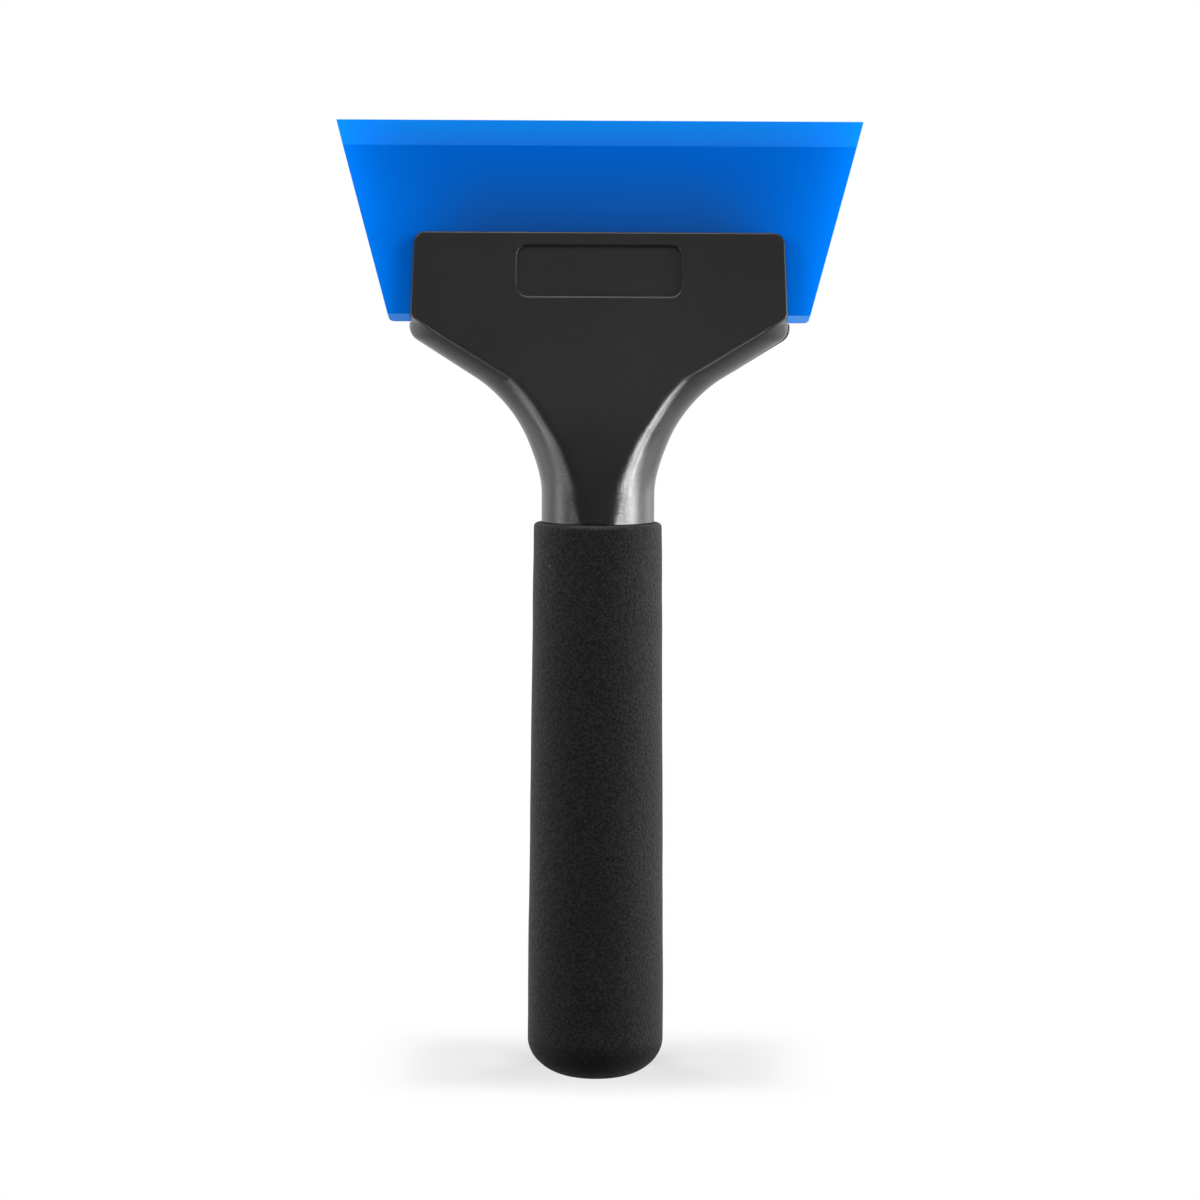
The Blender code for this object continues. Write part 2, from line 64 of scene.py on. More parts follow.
# %% Camera
PICTURE_SIDE = 1200  # pixels along each side of the picture
MM_PER_PIXEL = 0.2557
SENSOR_WIDTH = 36
CAMERA_DISTANCE = 1500 * MM
CAMERA_HEIGHT = 237 * MM
VIEW_END = 50
CAMERA_ROLL = math.radians(0.3)
AIM = Vector((0.65, 0, 122.8)) * MM  # what lies in the middle of the picture


def linked(name, data):
    """An object in the scene that shows this data."""
    made = bpy.data.objects.new(name, data)
    bpy.context.scene.collection.objects.link(made)
    return made


camera_data = bpy.data.cameras.new("camera")
camera = linked("camera", camera_data)
bpy.context.scene.camera = camera
camera.location = (0, -CAMERA_DISTANCE, CAMERA_HEIGHT)
view_line = AIM - camera.location
camera.rotation_mode = "QUATERNION"
roll = Quaternion((0, 0, 1), CAMERA_ROLL)
camera.rotation_quaternion = view_line.to_track_quat("-Z", "Y") @ roll
camera_data.sensor_width = SENSOR_WIDTH
camera_data.lens = SENSOR_WIDTH * view_line.length / (PICTURE_SIDE * MM_PER_PIXEL * MM)
camera_data.clip_end = VIEW_END
print("lens in mm:", round(camera_data.lens, 1))

# %% [markdown]
# ## The studio
# Black plastic shows its lamps more than its colour, so the lamps are placed by the
# highlights that they leave. A wide, low-hung box above lights the leaning faces and drops
# a shadow line under each lip. Thin strips stand close to the neck, because a thin lamp
# makes a thin highlight, and they wear honeycomb grids so that their light fades before it
# reaches the shoulders. Boxes at the sides and a little behind draw the pale rims. Each is
# an area lamp, because its size is what makes a highlight broad or thin.

# %% Lamps
def soft_box(name, place, target, width, height, brightness, grid=None):
    """A rectangular lamp. A brightness of 1 looks as bright as white paper does.

    A grid is a honeycomb that stops the light past this many degrees from straight ahead.
    """
    data = bpy.data.lights.new(name, "AREA")
    data.shape = "RECTANGLE"
    data.size, data.size_y = width, height
    data.energy = brightness * math.pi * width * height
    if grid:
        half_angle = math.radians(grid)
        data.spread = 2 * half_angle
        data.energy *= 1 - half_angle / math.tan(half_angle)
    lamp = linked(name, data)
    lamp.location = place
    aim = Vector(target) - Vector(place)
    lamp.rotation_euler = aim.to_track_quat("-Z", "Y").to_euler()
    lamp.visible_camera = False
    return lamp


def beside(bearing, distance, height):
    """A place round the tool: a bearing of 0 is at the camera and 90 at the right."""
    turn = math.radians(bearing)
    return (distance * math.sin(turn), -distance * math.cos(turn), height)


HEAD_MIDDLE = (0, 0, 0.16)
GRIP_MIDDLE = (0, 0, 0.11)
NECK_MIDDLE = (0, 0, 0.15)
side_lamps = [
    soft_box("left_side", beside(-84, 0.60, 0.13), GRIP_MIDDLE, 0.16, 0.24, 6.2),
    soft_box("right_side", beside(78, 0.60, 0.13), GRIP_MIDDLE, 0.12, 0.24, 26),
    soft_box("left_rim", beside(-115, 0.9, 0.20), HEAD_MIDDLE, 0.85, 1.0, 0.42),
    soft_box("right_rim", beside(112, 0.9, 0.20), HEAD_MIDDLE, 0.85, 1.0, 2.25),
]
blade_lamps = [
    soft_box("key_box", (-0.10, -0.62, 0.95), HEAD_MIDDLE, 1.5, 1.0, 0.9),
    soft_box("left_high", beside(-48, 1.0, 0.55), HEAD_MIDDLE, 0.5, 0.5, 4.5),
    soft_box("right_high", beside(48, 1.0, 0.55), HEAD_MIDDLE, 0.5, 0.5, 6.5),
]
top_box = soft_box("top_box", (-0.20, -0.60, 0.88), HEAD_MIDDLE, 1.2, 0.40, 8.6)
neck_lamps = [
    soft_box("left_strip", beside(-52, 0.22, 0.080), GRIP_MIDDLE, 0.07, 0.13, 3.8),
    soft_box("left_low", (-0.21, -0.06, 0.05), NECK_MIDDLE, 0.10, 0.08, 8.0, 20),
    soft_box("left_back_low", beside(-110, 0.30, 0.055), NECK_MIDDLE, 0.15, 0.07, 1.0, 30),
    soft_box("right_strip", beside(42, 0.22, 0.110), NECK_MIDDLE, 0.024, 0.08, 88, 20),
    soft_box("right_edge_strip", beside(63, 0.22, 0.105), NECK_MIDDLE, 0.030, 0.09, 68, 20),
    soft_box("right_back_low", beside(100, 0.30, 0.055), NECK_MIDDLE, 0.20, 0.07, 2.0, 30),
]
floor_lamp = soft_box("floor_lamp", (0, -0.14, 1.3), (0, -0.14, 0), 0.14, 0.56, 61)

# %% [markdown]
# ## Writing materials as sums
# A procedural material is a graph of nodes, which is tiring to write out box by box. Two
# small classes make it read like arithmetic. `Number` wraps a socket and turns each
# operator into a Math node. `Desk` adds any other node from its type, its settings and
# its inputs, and serves shader trees and geometry trees alike.

# %% Number and Desk
def operator(operation, swapped=False):
    """An operator's method: it adds the Math node that works the operation out."""
    def method(self, other):
        return self.desk.maths(operation, *((other, self) if swapped else (self, other)))
    return method


class Number:
    """A socket in a sum. Each operator adds a Math node."""

    def __init__(self, desk, socket):
        self.desk = desk
        self.socket = socket

    __add__, __radd__ = operator("ADD"), operator("ADD", True)
    __sub__, __rsub__ = operator("SUBTRACT"), operator("SUBTRACT", True)
    __mul__, __rmul__ = operator("MULTIPLY"), operator("MULTIPLY", True)
    __truediv__, __rtruediv__ = operator("DIVIDE"), operator("DIVIDE", True)
    __pow__, __rpow__ = operator("POWER"), operator("POWER", True)

    def __abs__(self):
        return self.desk.maths("ABSOLUTE", self)

    def fraction(self):
        return self.desk.maths("FRACT", self)

    def ramp(self, low, high):
        """0 below low and 1 above high, with a smooth step between them."""
        inputs = {"Value": self, "From Min": low, "From Max": high, "To Min": 0, "To Max": 1}
        return self.desk.first("ShaderNodeMapRange", inputs, interpolation_type="SMOOTHSTEP")


class Desk:
    """Adds nodes to one tree."""

    def __init__(self, tree):
        self.tree = tree
        tree.nodes.clear()

    def fill(self, made, inputs):
        """Give a node's sockets their values or links."""
        for name, value in inputs.items():
            value = getattr(value, "socket", value)
            if isinstance(value, bpy.types.NodeSocket):
                self.tree.links.new(value, made.inputs[name])
            else:
                made.inputs[name].default_value = value

    def node(self, kind, inputs=None, **settings):
        """A node of a type, with its settings made first and its sockets filled next."""
        made = self.tree.nodes.new(kind)
        for name, value in settings.items():
            setattr(made, name, value)
        self.fill(made, inputs or {})
        return made

    def first(self, kind, inputs=None, **settings):
        """The first output of such a node, ready for sums and links."""
        return Number(self, self.node(kind, inputs, **settings).outputs[0])

    def maths(self, operation, *values):
        return self.first("ShaderNodeMath", dict(enumerate(values)), operation=operation)

    def mix(self, share, first, second):
        """A colour that goes from the first to the second as share goes from 0 to 1."""
        inputs = {0: share, 6: first, 7: second}  # 6 and 7 are the node's colour sockets
        return self.node("ShaderNodeMix", inputs, data_type="RGBA").outputs[2]

    def noise(self, where, scale, detail=2.0, roughness=0.5):
        """Soft random blotches. A scale of 1000 makes them about a millimetre wide."""
        inputs = {"Vector": where, "Scale": scale, "Detail": detail, "Roughness": roughness}
        return self.first("ShaderNodeTexNoise", inputs)

    def split(self, place):
        """The X, Y and Z of a place or a direction, as numbers."""
        parts = self.node("ShaderNodeSeparateXYZ", {0: place})
        return [Number(self, parts.outputs[index]) for index in range(3)]

    def place(self, x, y, z):
        """A place from its X, Y and Z."""
        return self.first("ShaderNodeCombineXYZ", {0: x, 1: y, 2: z})


def grey(level):
    return (level, level, level, 1)

# %% [markdown]
# ## White room, dark camera side
# In the studio a white sweep stands behind the tool and runs out under it, and the room
# behind the camera is dark. That is why the neck's outer edges look pale and its middle is
# nearly black. The world does the same: it is white towards the sweep and dim behind the
# camera. What the camera sees straight away is white, and so is what a glossy or clear
# surface shows of the sweep.

# %% World
DIM_SIDE = 0.02
SWEEP_EDGE = (-0.15, 0.45)  # the room brightens between these shares of straight back


def shown_white(desk, glossy_share):
    """1 where a surface should look white: seen straight, through glass or as a reflection."""
    path = desk.node("ShaderNodeLightPath")
    rays = ("Is Camera Ray", "Is Transmission Ray", "Is Glossy Ray")
    seen, clear, glossy = (Number(desk, path.outputs[ray]) for ray in rays)
    return desk.maths("MAXIMUM", seen, desk.maths("MAXIMUM", clear, glossy * glossy_share))


world = bpy.data.worlds.new("studio")
world.use_nodes = True
bpy.context.scene.world = world
desk = Desk(world.node_tree)
sweep = desk.split(desk.node("ShaderNodeTexCoord").outputs["Generated"])[1].ramp(*SWEEP_EDGE)
room_light = DIM_SIDE + (1 - DIM_SIDE) * sweep
strength = desk.maths("MAXIMUM", shown_white(desk, sweep), room_light)
background = desk.node("ShaderNodeBackground", {"Color": grey(1), "Strength": strength})
desk.node("ShaderNodeOutputWorld", {"Surface": background.outputs[0]})
bpy.context.scene.view_settings.view_transform = "Standard"
print("world nodes:", len(desk.tree.nodes))

# %% [markdown]
# ## The floor
# The floor is the foot of the white sweep. It has to look pure white and still carry the
# tool's soft shadow, so near the tool it is matt paper lit by a lamp of its own, and further
# out a glow takes over, so that the shadow fades into white with no horizon. Just round the
# grip, where the lamp would leave a hard ring, a soft shade is laid over it. Reflections
# show the floor dim on the camera's side, as an unlit studio floor is.

# %% Floor
FLOOR_REACH = 1.0
PAPER, DULL_PAPER = 0.8, 0.12  # how much light the paper gives back to the camera and to others
SHADOW_DEPTH = 0.024  # the middle of the shadow lies this far behind the grip
EVEN_GLOW = 0.05  # the glow that is added everywhere near the tool
FOOT_REACH = (0.019, 0.036)  # the grip's own hard shadow is covered out to here
FOOT_DEPTHS = (-0.042, 0.010)  # by a soft one that deepens between these depths
FOOT_SHADES = (0.95, 0.77)
DARK_FRONT = (-0.09, 0.09)  # reflections show the floor dim in front of these depths
FADE_ACROSS = (0.036, 0.064)  # sideways, the shadow fades out between these distances
FADE_ALONG = (0.0, 0.080)  # and to the front and back between these

floor_shape = bmesh.new()
bmesh.ops.create_circle(floor_shape, cap_ends=True, segments=64, radius=FLOOR_REACH)
floor_mesh = bpy.data.meshes.new("floor")
floor_shape.to_mesh(floor_mesh)
floor_shape.free()
floor = linked("floor", floor_mesh)

floor_paper = bpy.data.materials.new("floor_paper")
floor_paper.use_nodes = True
desk = Desk(floor_paper.node_tree)


def layered(share, under, over):
    """One look over another, as much as share says."""
    inputs = {0: share, 1: under.outputs[0], 2: over.outputs[0]}
    return desk.node("ShaderNodeMixShader", inputs)


across, depth, _ = desk.split(desk.node("ShaderNodeTexCoord").outputs["Object"])
shadow_along = 1 - abs(depth - SHADOW_DEPTH).ramp(*FADE_ALONG)
shadow_share = (1 - abs(across).ramp(*FADE_ACROSS)) * shadow_along
glow_share = desk.maths("MAXIMUM", 1 - shadow_share, EVEN_GLOW)
at_foot = 1 - ((across * across + depth * depth) ** 0.5).ramp(*FOOT_REACH)
foot_shade = desk.mix(depth.ramp(*FOOT_DEPTHS), *(grey(shade) for shade in FOOT_SHADES))
shown = shown_white(desk, depth.ramp(*DARK_FRONT))
paper = desk.node("ShaderNodeBsdfDiffuse", {"Color": grey(PAPER)})
dull_paper = desk.node("ShaderNodeBsdfDiffuse", {"Color": grey(DULL_PAPER)})
glow = desk.node("ShaderNodeEmission", {"Color": grey(1), "Strength": 1.0})
foot_glow = desk.node("ShaderNodeEmission", {"Color": foot_shade, "Strength": 1.0})
camera_look = layered(at_foot, layered(glow_share, paper, glow), foot_glow)
floor_look = layered(shown, dull_paper, camera_look)
desk.node("ShaderNodeOutputMaterial", {"Surface": floor_look.outputs[0]})
floor_mesh.materials.append(floor_paper)
print("floor radius in m:", FLOOR_REACH)

# %% [markdown]
# ## Moulded black plastic
# The jaws and neck are one hard black plastic from a mould with a fine spark-eroded
# skin. Away from a lamp it is an even charcoal, and in a highlight the skin breaks the
# light into grains about half a millimetre wide. A bump does that, from two sizes of
# noise. The colour and the roughness drift a little as well, because a moulding is never
# quite even, and the head's skin is smoother than the neck's. The neck's colour is also
# painted darker than the head's, as painted shade.

# %% A base for finishes
def new_finish(name):
    """A material with its shader, and a desk for its other nodes."""
    material = bpy.data.materials.new(name)
    material.use_nodes = True
    desk = Desk(material.node_tree)
    shader = desk.node("ShaderNodeBsdfPrincipled")
    desk.node("ShaderNodeOutputMaterial", {"Surface": shader.outputs[0]})
    return material, desk, shader, desk.node("ShaderNodeTexCoord").outputs["Object"]


def fill(desk, shader, **inputs):
    """Give the shader's sockets their values or links."""
    desk.fill(shader, {name.replace("_", " "): value for name, value in inputs.items()})


def bump(desk, height, depth):
    """Tilt the surface as if it had this height, which is depth metres from low to high."""
    inputs = {"Strength": 1.0, "Distance": depth, "Height": height}
    return desk.node("ShaderNodeBump", inputs).outputs[0]

# %% Moulded plastic
GRAIN_FADE = (0.148, 0.180)  # heights between which the grain gets fainter
HEAD_CALM = 0.75  # how much of the bump is gone on the head
DRIFT_SCALE, SPECKLE_SCALE = 45, 800
SPECKLE_EDGE = (0.35, 0.75)


def moulded_plastic(name, dark, pale, roughness, grain, depth):
    """Hard plastic with a spark-eroded skin whose grains are about 1/grain metres wide."""
    material, desk, shader, place = new_finish(name)
    coarse, fine = desk.noise(place, grain, 2.0, 0.6), desk.noise(place, grain * 2.3, 1.0)
    skin_height = coarse * 0.7 + fine * 0.3
    drift = desk.noise(place, DRIFT_SCALE, 3.0)
    speckle = desk.noise(place, SPECKLE_SCALE, 1.0).ramp(*SPECKLE_EDGE)
    on_head = desk.split(place)[2].ramp(*GRAIN_FADE)
    # painted shade: on_head makes the neck's colour darker than the head's; drift and speckle are
    # uneven tone
    share = drift * 0.3 + speckle * 0.2 + on_head * 0.5
    fill(
        desk, shader,
        Base_Color=desk.mix(share, grey(dark), grey(pale)),
        Roughness=roughness + on_head * 0.07 + (drift - 0.5) * 0.04,
        Normal=bump(desk, skin_height * (1 - on_head * HEAD_CALM), depth),
        IOR=1.5,
    )
    return material


HANDLE_PLASTIC = moulded_plastic("moulded_handle", 0.006, 0.013, 0.23, 1900, 0.10 * MM)
JAW_PLASTIC = moulded_plastic("moulded_jaw", 0.006, 0.013, 0.23, 1900, 0.10 * MM)
PLUG_PLASTIC = moulded_plastic("moulded_plug", 0.03, 0.05, 0.55, 900, 0.03 * MM)
print("plastics:", HANDLE_PLASTIC.name, JAW_PLASTIC.name, PLUG_PLASTIC.name)

# %% [markdown]
# ## Black foam
# The grip is closed-cell foam rubber with its skin ground off, so the surface is open
# cells about three quarters of a millimetre across: matt, mottled, with a few pale
# specks of dust caught in them. Noise at the size of the cells drives the bump and the
# colour together, so that the pits get a painted shade, darker than the walls between
# them. A sparse Voronoi pattern places the specks, and a faint sheen lightens the sides,
# as torn cell walls do.

# %% Foam finish
CELL_SCALE, PIT_SCALE, MOTTLE_SCALE, SPECK_SCALE = 1350, 2900, 120, 95.0
SPECK_RADII = (0.018, 0.034)  # a speck fades out between these, in cells of its pattern
FOAM_BUMP = 0.28 * MM
WALL_EDGE = (0.44, 0.58)  # heights between which a pit turns into a cell's wall
SPECK_CHOICE = (0.80, 0.84)  # only about a fifth of the places for a speck have one


def foam_finish(name):
    material, desk, shader, place = new_finish(name)
    cells, pits = desk.noise(place, CELL_SCALE, 2.0, 0.65), desk.noise(place, PIT_SCALE, 1.0)
    height = cells * 0.65 + pits * 0.35
    wall = height.ramp(*WALL_EDGE)
    mottle = desk.noise(place, MOTTLE_SCALE, 3.0)
    # painted shade: the pits are coloured darker than the walls; the mottle is uneven tone
    tint = desk.mix(wall * 0.8 + mottle * 0.2, grey(0.0), grey(0.0115))
    scatter = {"Vector": place, "Scale": SPECK_SCALE, "Randomness": 1.0}
    dots = desk.node("ShaderNodeTexVoronoi", scatter)
    near_dot = 1 - Number(desk, dots.outputs["Distance"]).ramp(*SPECK_RADII)
    chosen = desk.first("ShaderNodeSeparateColor", {0: dots.outputs["Color"]})
    fill(
        desk, shader,
        Base_Color=desk.mix(near_dot * chosen.ramp(*SPECK_CHOICE), tint, grey(0.07)),
        Roughness=0.70 - wall * 0.10,
        Normal=bump(desk, height, FOAM_BUMP),
        IOR=1.45,
        Specular_IOR_Level=0.21,
        Sheen_Weight=0.05,
        Sheen_Roughness=0.5,
    )
    return material


FOAM = foam_finish("black_foam")
print("foam nodes:", len(FOAM.node_tree.nodes))

# %% [markdown]
# ## Blue polyurethane
# The blade is cast polyurethane: a clear blue, glossy rubber. Light enters at its thin
# edges and glows back out there, so the slanted ends and the bevelled edge are a bright
# azure, while the middle, which is backed by black jaws further down, sinks to a deep
# blue. Real light transport through it would be slow and grainy. Here that glow and that
# shade are painted into the colour, worked out from how far each point lies from the
# ends, the top and the jaws; the foot gets a paler painted blue and a painted glow, and
# the gloss comes from the shader.

# %% Sizes of the blade
BLADE_WIDTH = 134.0 * MM
BLADE_HEIGHT = 51.2 * MM
BLADE_THICKNESS = 5.0 * MM
BLADE_END_SLOPE = math.radians(15)
EDGE_BEVEL_HEIGHT = 6.4 * MM
EDGE_THICKNESS = 1.4 * MM
FOOT_BEVEL_HEIGHT = 2.0 * MM
FOOT_BEVEL_DEPTH = 1.0 * MM
FOOT_CORNER_RADIUS = 1.4 * MM
BLADE_FOOT, BLADE_TOP = (corner.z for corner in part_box("blade"))
SLOPE = math.tan(BLADE_END_SLOPE)
print("blade from", round(BLADE_FOOT / MM, 1), "to", round(BLADE_TOP / MM, 1))

# %% Polyurethane finish
# painted glow: the slanted ends are coloured a bright azure
PAINTED_END_GLOW_BLUE = (0.0, 0.215, 1.0, 1)
BODY_BLUE = (0.0, 0.106, 0.54, 1)
# painted shade: the middle, backed by the black jaws, is coloured a deep blue
PAINTED_SHADE_BLUE = (0.006, 0.072, 0.31, 1)
# painted glow: the bevel is coloured brighter towards the thin top edge
BEVEL_LOW_BLUE = (0.004, 0.112, 0.48, 1)
PAINTED_BEVEL_GLOW_BLUE = (0.0, 0.155, 0.56, 1)
# painted glow at the foot: a paler blue and an emission colour
PAINTED_FOOT_GLOW_BLUE = (0.15, 0.47, 1.0, 1)
PAINTED_FOOT_EMISSION = (0.0, 0.05, 0.30, 1)  # light that leaks out of the clear foot
END_GLOW_REACH = 8 * MM
PAINTED_SHADE_HALVES = (26 * MM, 54 * MM)  # sideways, the deep blue ends between these
PAINTED_SHADE_START, PAINTED_SHADE_RUN = 7 * MM, 21 * MM  # and it grows over this run below the top
FOOT_EDGE = (BLADE_FOOT + 1.85 * MM, BLADE_FOOT + 2.1 * MM)
CLOUD_SCALE, RIPPLE_SCALE = 35, 900
RIPPLE_DEPTH = 0.001 * MM
BEVEL_EDGE = (EDGE_BEVEL_HEIGHT * 0.98, EDGE_BEVEL_HEIGHT * 1.02)


def polyurethane(name):
    material, desk, shader, place = new_finish(name)
    x, _, z = desk.split(place)
    x = abs(x)
    from_top = BLADE_TOP - z
    from_end = (BLADE_WIDTH / 2 - from_top * SLOPE - x) * math.cos(BLADE_END_SLOPE)
    # painted glow: the colour brightens towards the slanted ends
    end_glow = desk.maths("MINIMUM", 1.0, 1.05 * math.e ** (from_end * (-1 / END_GLOW_REACH)))
    cloud = desk.noise(place, CLOUD_SCALE, 3.0)
    # painted shade: the middle darkens below the top and away from the ends
    sunk = desk.maths("MAXIMUM", 0.0, (from_top - PAINTED_SHADE_START) / PAINTED_SHADE_RUN)
    painted_shade = (1 - x.ramp(*PAINTED_SHADE_HALVES)) * desk.maths("MINIMUM", 1.0, sunk) * (0.92 + cloud * 0.16)
    # painted glow: the bevel's colour brightens towards the top
    bevel = desk.mix(1 - from_top / EDGE_BEVEL_HEIGHT, BEVEL_LOW_BLUE, PAINTED_BEVEL_GLOW_BLUE)
    tint = desk.mix(painted_shade, BODY_BLUE, PAINTED_SHADE_BLUE)
    tint = desk.mix(1 - from_top.ramp(*BEVEL_EDGE), tint, bevel)
    tint = desk.mix(end_glow, tint, PAINTED_END_GLOW_BLUE)
    # painted glow: the foot is coloured paler and made to glow
    in_foot = 1 - z.ramp(*FOOT_EDGE)
    fill(
        desk, shader,
        Base_Color=desk.mix(in_foot, tint, PAINTED_FOOT_GLOW_BLUE),
        Roughness=0.17 + cloud * 0.05,
        Normal=bump(desk, desk.noise(place, RIPPLE_SCALE, 1.0), RIPPLE_DEPTH),
        IOR=1.5,
        Specular_IOR_Level=0.06,
        Emission_Color=desk.mix(in_foot, grey(0.0), PAINTED_FOOT_EMISSION),
        Emission_Strength=1.0,
    )
    return material


BLUE = polyurethane("blue_polyurethane")
print("blade finish nodes:", len(BLUE.node_tree.nodes))

# %% [markdown]
# ## Plated steel and brass
# The clamp screws and washers are zinc-plated steel, turned on a lathe, and the nuts
# moulded into the front jaw are brass. On turned metal the tool leaves fine rings, which
# stretch each highlight. Noise squeezed along the axis gives those rings, and a second
# noise dulls the plating in patches.

# %% Metal finish
RING_SCALE = (60.0, 5000.0, 60.0)  # squeezed along Y, the axis of the screws
RING_DEPTH = 0.006 * MM
PATCH_SCALE = 400
PATCH_EDGE = (0.3, 0.7)


def turned_metal(name, dark, pale, roughness):
    """Metal with fine tool rings round the Y axis, and a slightly uneven shine."""
    material, desk, shader, place = new_finish(name)
    squeeze = {"Vector": place, "Scale": RING_SCALE}
    rings = desk.noise(desk.node("ShaderNodeMapping", squeeze).outputs[0], 1.0, 2.0)
    patches = desk.noise(place, PATCH_SCALE, 3.0)
    fill(
        desk, shader,
        Base_Color=desk.mix(patches.ramp(*PATCH_EDGE), dark, pale),
        Metallic=1.0,
        Roughness=roughness + patches * 0.14,
        Normal=bump(desk, rings, RING_DEPTH),
    )
    return material


STEEL = turned_metal("plated_steel", (0.50, 0.50, 0.47, 1), (0.66, 0.66, 0.64, 1), 0.24)
BRASS = turned_metal("turned_brass", (0.60, 0.40, 0.16, 1), (0.78, 0.57, 0.27, 1), 0.28)
print("metals:", STEEL.name, BRASS.name)

# %% [markdown]
# ## Meshes from rings
# Most pieces here are lofts: a stack of closed rings of points, joined ring to ring. A
# lathe shape is the same thing with circles for rings. Making them from rings gives even
# quads that shade well, and the corners can be rounded by placing points on small arcs,
# so no bevel has to be guessed afterwards.

# %% Ring helpers
SMOOTH_ANGLE = math.radians(32)
MERGE_DISTANCE = 0.001 * MM


def cleaned(shape):
    """Merge doubles, drop faces without area and turn the rest outwards."""
    bmesh.ops.remove_doubles(shape, verts=shape.verts, dist=MERGE_DISTANCE)
    bmesh.ops.dissolve_degenerate(shape, edges=shape.edges, dist=MERGE_DISTANCE)
    bmesh.ops.recalc_face_normals(shape, faces=shape.faces)
    if shape.calc_volume(signed=True) < 0:
        bmesh.ops.reverse_faces(shape, faces=shape.faces)


def as_object(name, shape, material=None):
    """Turn a bmesh into a clean object."""
    cleaned(shape)
    mesh = bpy.data.meshes.new(name)
    shape.to_mesh(mesh)
    shape.free()
    if material:
        mesh.materials.append(material)
    return linked(name, mesh)


def cap(shape, loop):
    """Close a ring with a strip of faces from its first half across to its second half."""
    last = len(loop) - 1
    for index in range(len(loop) // 2 - 1):
        corners = (loop[index], loop[index + 1], loop[last - index - 1], loop[last - index])
        shape.faces.new(corners)


def loft(rings, closed=False):
    """Join rings of equally many points. The ends are capped unless it closes on itself."""
    shape = bmesh.new()
    loops = [[shape.verts.new(point) for point in ring] for ring in rings]
    pairs = list(zip(loops, loops[1:]))
    if closed:
        pairs.append((loops[-1], loops[0]))
    else:
        cap(shape, loops[0])
        cap(shape, loops[-1])
    count = len(loops[0])
    for lower, upper in pairs:
        for index in range(count):
            after = (index + 1) % count
            shape.faces.new((lower[index], lower[after], upper[after], upper[index]))
    return shape


def lathe(profile, steps, closed=False):
    """Turn (radius, height) points round the Z axis."""
    rings = []
    for radius, height in profile:
        turns = [2 * math.pi * step / steps for step in range(steps)]
        rings.append([(radius * math.cos(t), radius * math.sin(t), height) for t in turns])
    return loft(rings, closed)


def quarter_turns(steps):
    """Angles from 0 to a right angle."""
    return [math.pi / 2 * step / steps for step in range(steps + 1)]


def rounded(points, radii, steps=5):
    """Round the corners of a profile of (radius, height) points, each by its own amount."""
    result = []
    last = len(points) - 1
    for index, (point, radius) in enumerate(zip(points, radii)):
        if radius == 0 or index in (0, last):
            result.append(tuple(point))
            continue
        corner = Vector(point)
        back = (Vector(points[index - 1]) - corner).normalized()
        ahead = (Vector(points[index + 1]) - corner).normalized()
        half_angle = back.angle(ahead) / 2
        reach = radius / math.tan(half_angle)
        centre = corner + (back + ahead).normalized() * radius / math.sin(half_angle)
        first_arm = (corner + back * reach - centre).normalized()
        last_arm = (corner + ahead * reach - centre).normalized()
        for step in range(steps + 1):
            result.append(tuple(centre + first_arm.slerp(last_arm, step / steps) * radius))
    return result


def baked(made, name=None):
    """Apply every modifier: the object keeps only the finished mesh."""
    graph = bpy.context.evaluated_depsgraph_get()
    mesh = bpy.data.meshes.new_from_object(made.evaluated_get(graph), depsgraph=graph)
    mesh.name = name or made.name
    made.modifiers.clear()
    made.data = mesh
    return made


def shaded(made, angle=SMOOTH_ANGLE):
    """Shade round stretches smooth and keep wide faces flat right up to their edges."""
    made.data.shade_smooth()
    made.data.set_sharp_from_angle(angle=angle)
    weighted = made.modifiers.new("weighted", "WEIGHTED_NORMAL")
    weighted.keep_sharp = True
    return baked(made)


def cut(made, tools, operation="DIFFERENCE"):
    """Take each tool's shape out of a piece, then throw the tools away."""
    for tool in tools:
        modifier = made.modifiers.new(tool.name, "BOOLEAN")
        modifier.operation = operation
        modifier.object = tool
    bpy.context.view_layer.update()
    baked(made)
    for tool in tools:
        bpy.data.objects.remove(tool)
    shape = bmesh.new()
    shape.from_mesh(made.data)
    cleaned(shape)
    shape.to_mesh(made.data)
    shape.free()
    return made


def place_along_y(made, x, y, z):
    """Move a shape that was turned round Z onto the +Y direction, in its mesh."""
    for vertex in made.data.vertices:
        across, up, along = vertex.co
        vertex.co = (x + across, y + along, z - up)
    return made


def tell(made):
    """Print what a finished piece measures."""
    mesh = made.data
    mesh.calc_loop_triangles()
    shape = bmesh.new()
    shape.from_mesh(mesh)
    open_edges = sum(1 for edge in shape.edges if len(edge.link_faces) != 2)
    volume = shape.calc_volume(signed=True)
    shape.free()
    print(
        f"{made.name}: {len(mesh.loop_triangles)} triangles, {open_edges} open edges,",
        f"{volume / MM ** 3:.0f} cubic mm",
    )

# %% [markdown]
# ## The handle's outline
# Seen from the front, the neck flares out on a wide hollow curve, meets a sloping
# shoulder, turns a tight corner and runs up the jaw's nearly straight side. Seen from the
# side, both faces are flat and lean in towards the mouth. The sizes are those of the
# measured model, but a moulding is softer than its drawing: here the flare is up to three
# quarters of a millimetre fuller, and the crease inside it follows a smooth table of
# half-widths, so that it runs down the neck to a point without a kink.

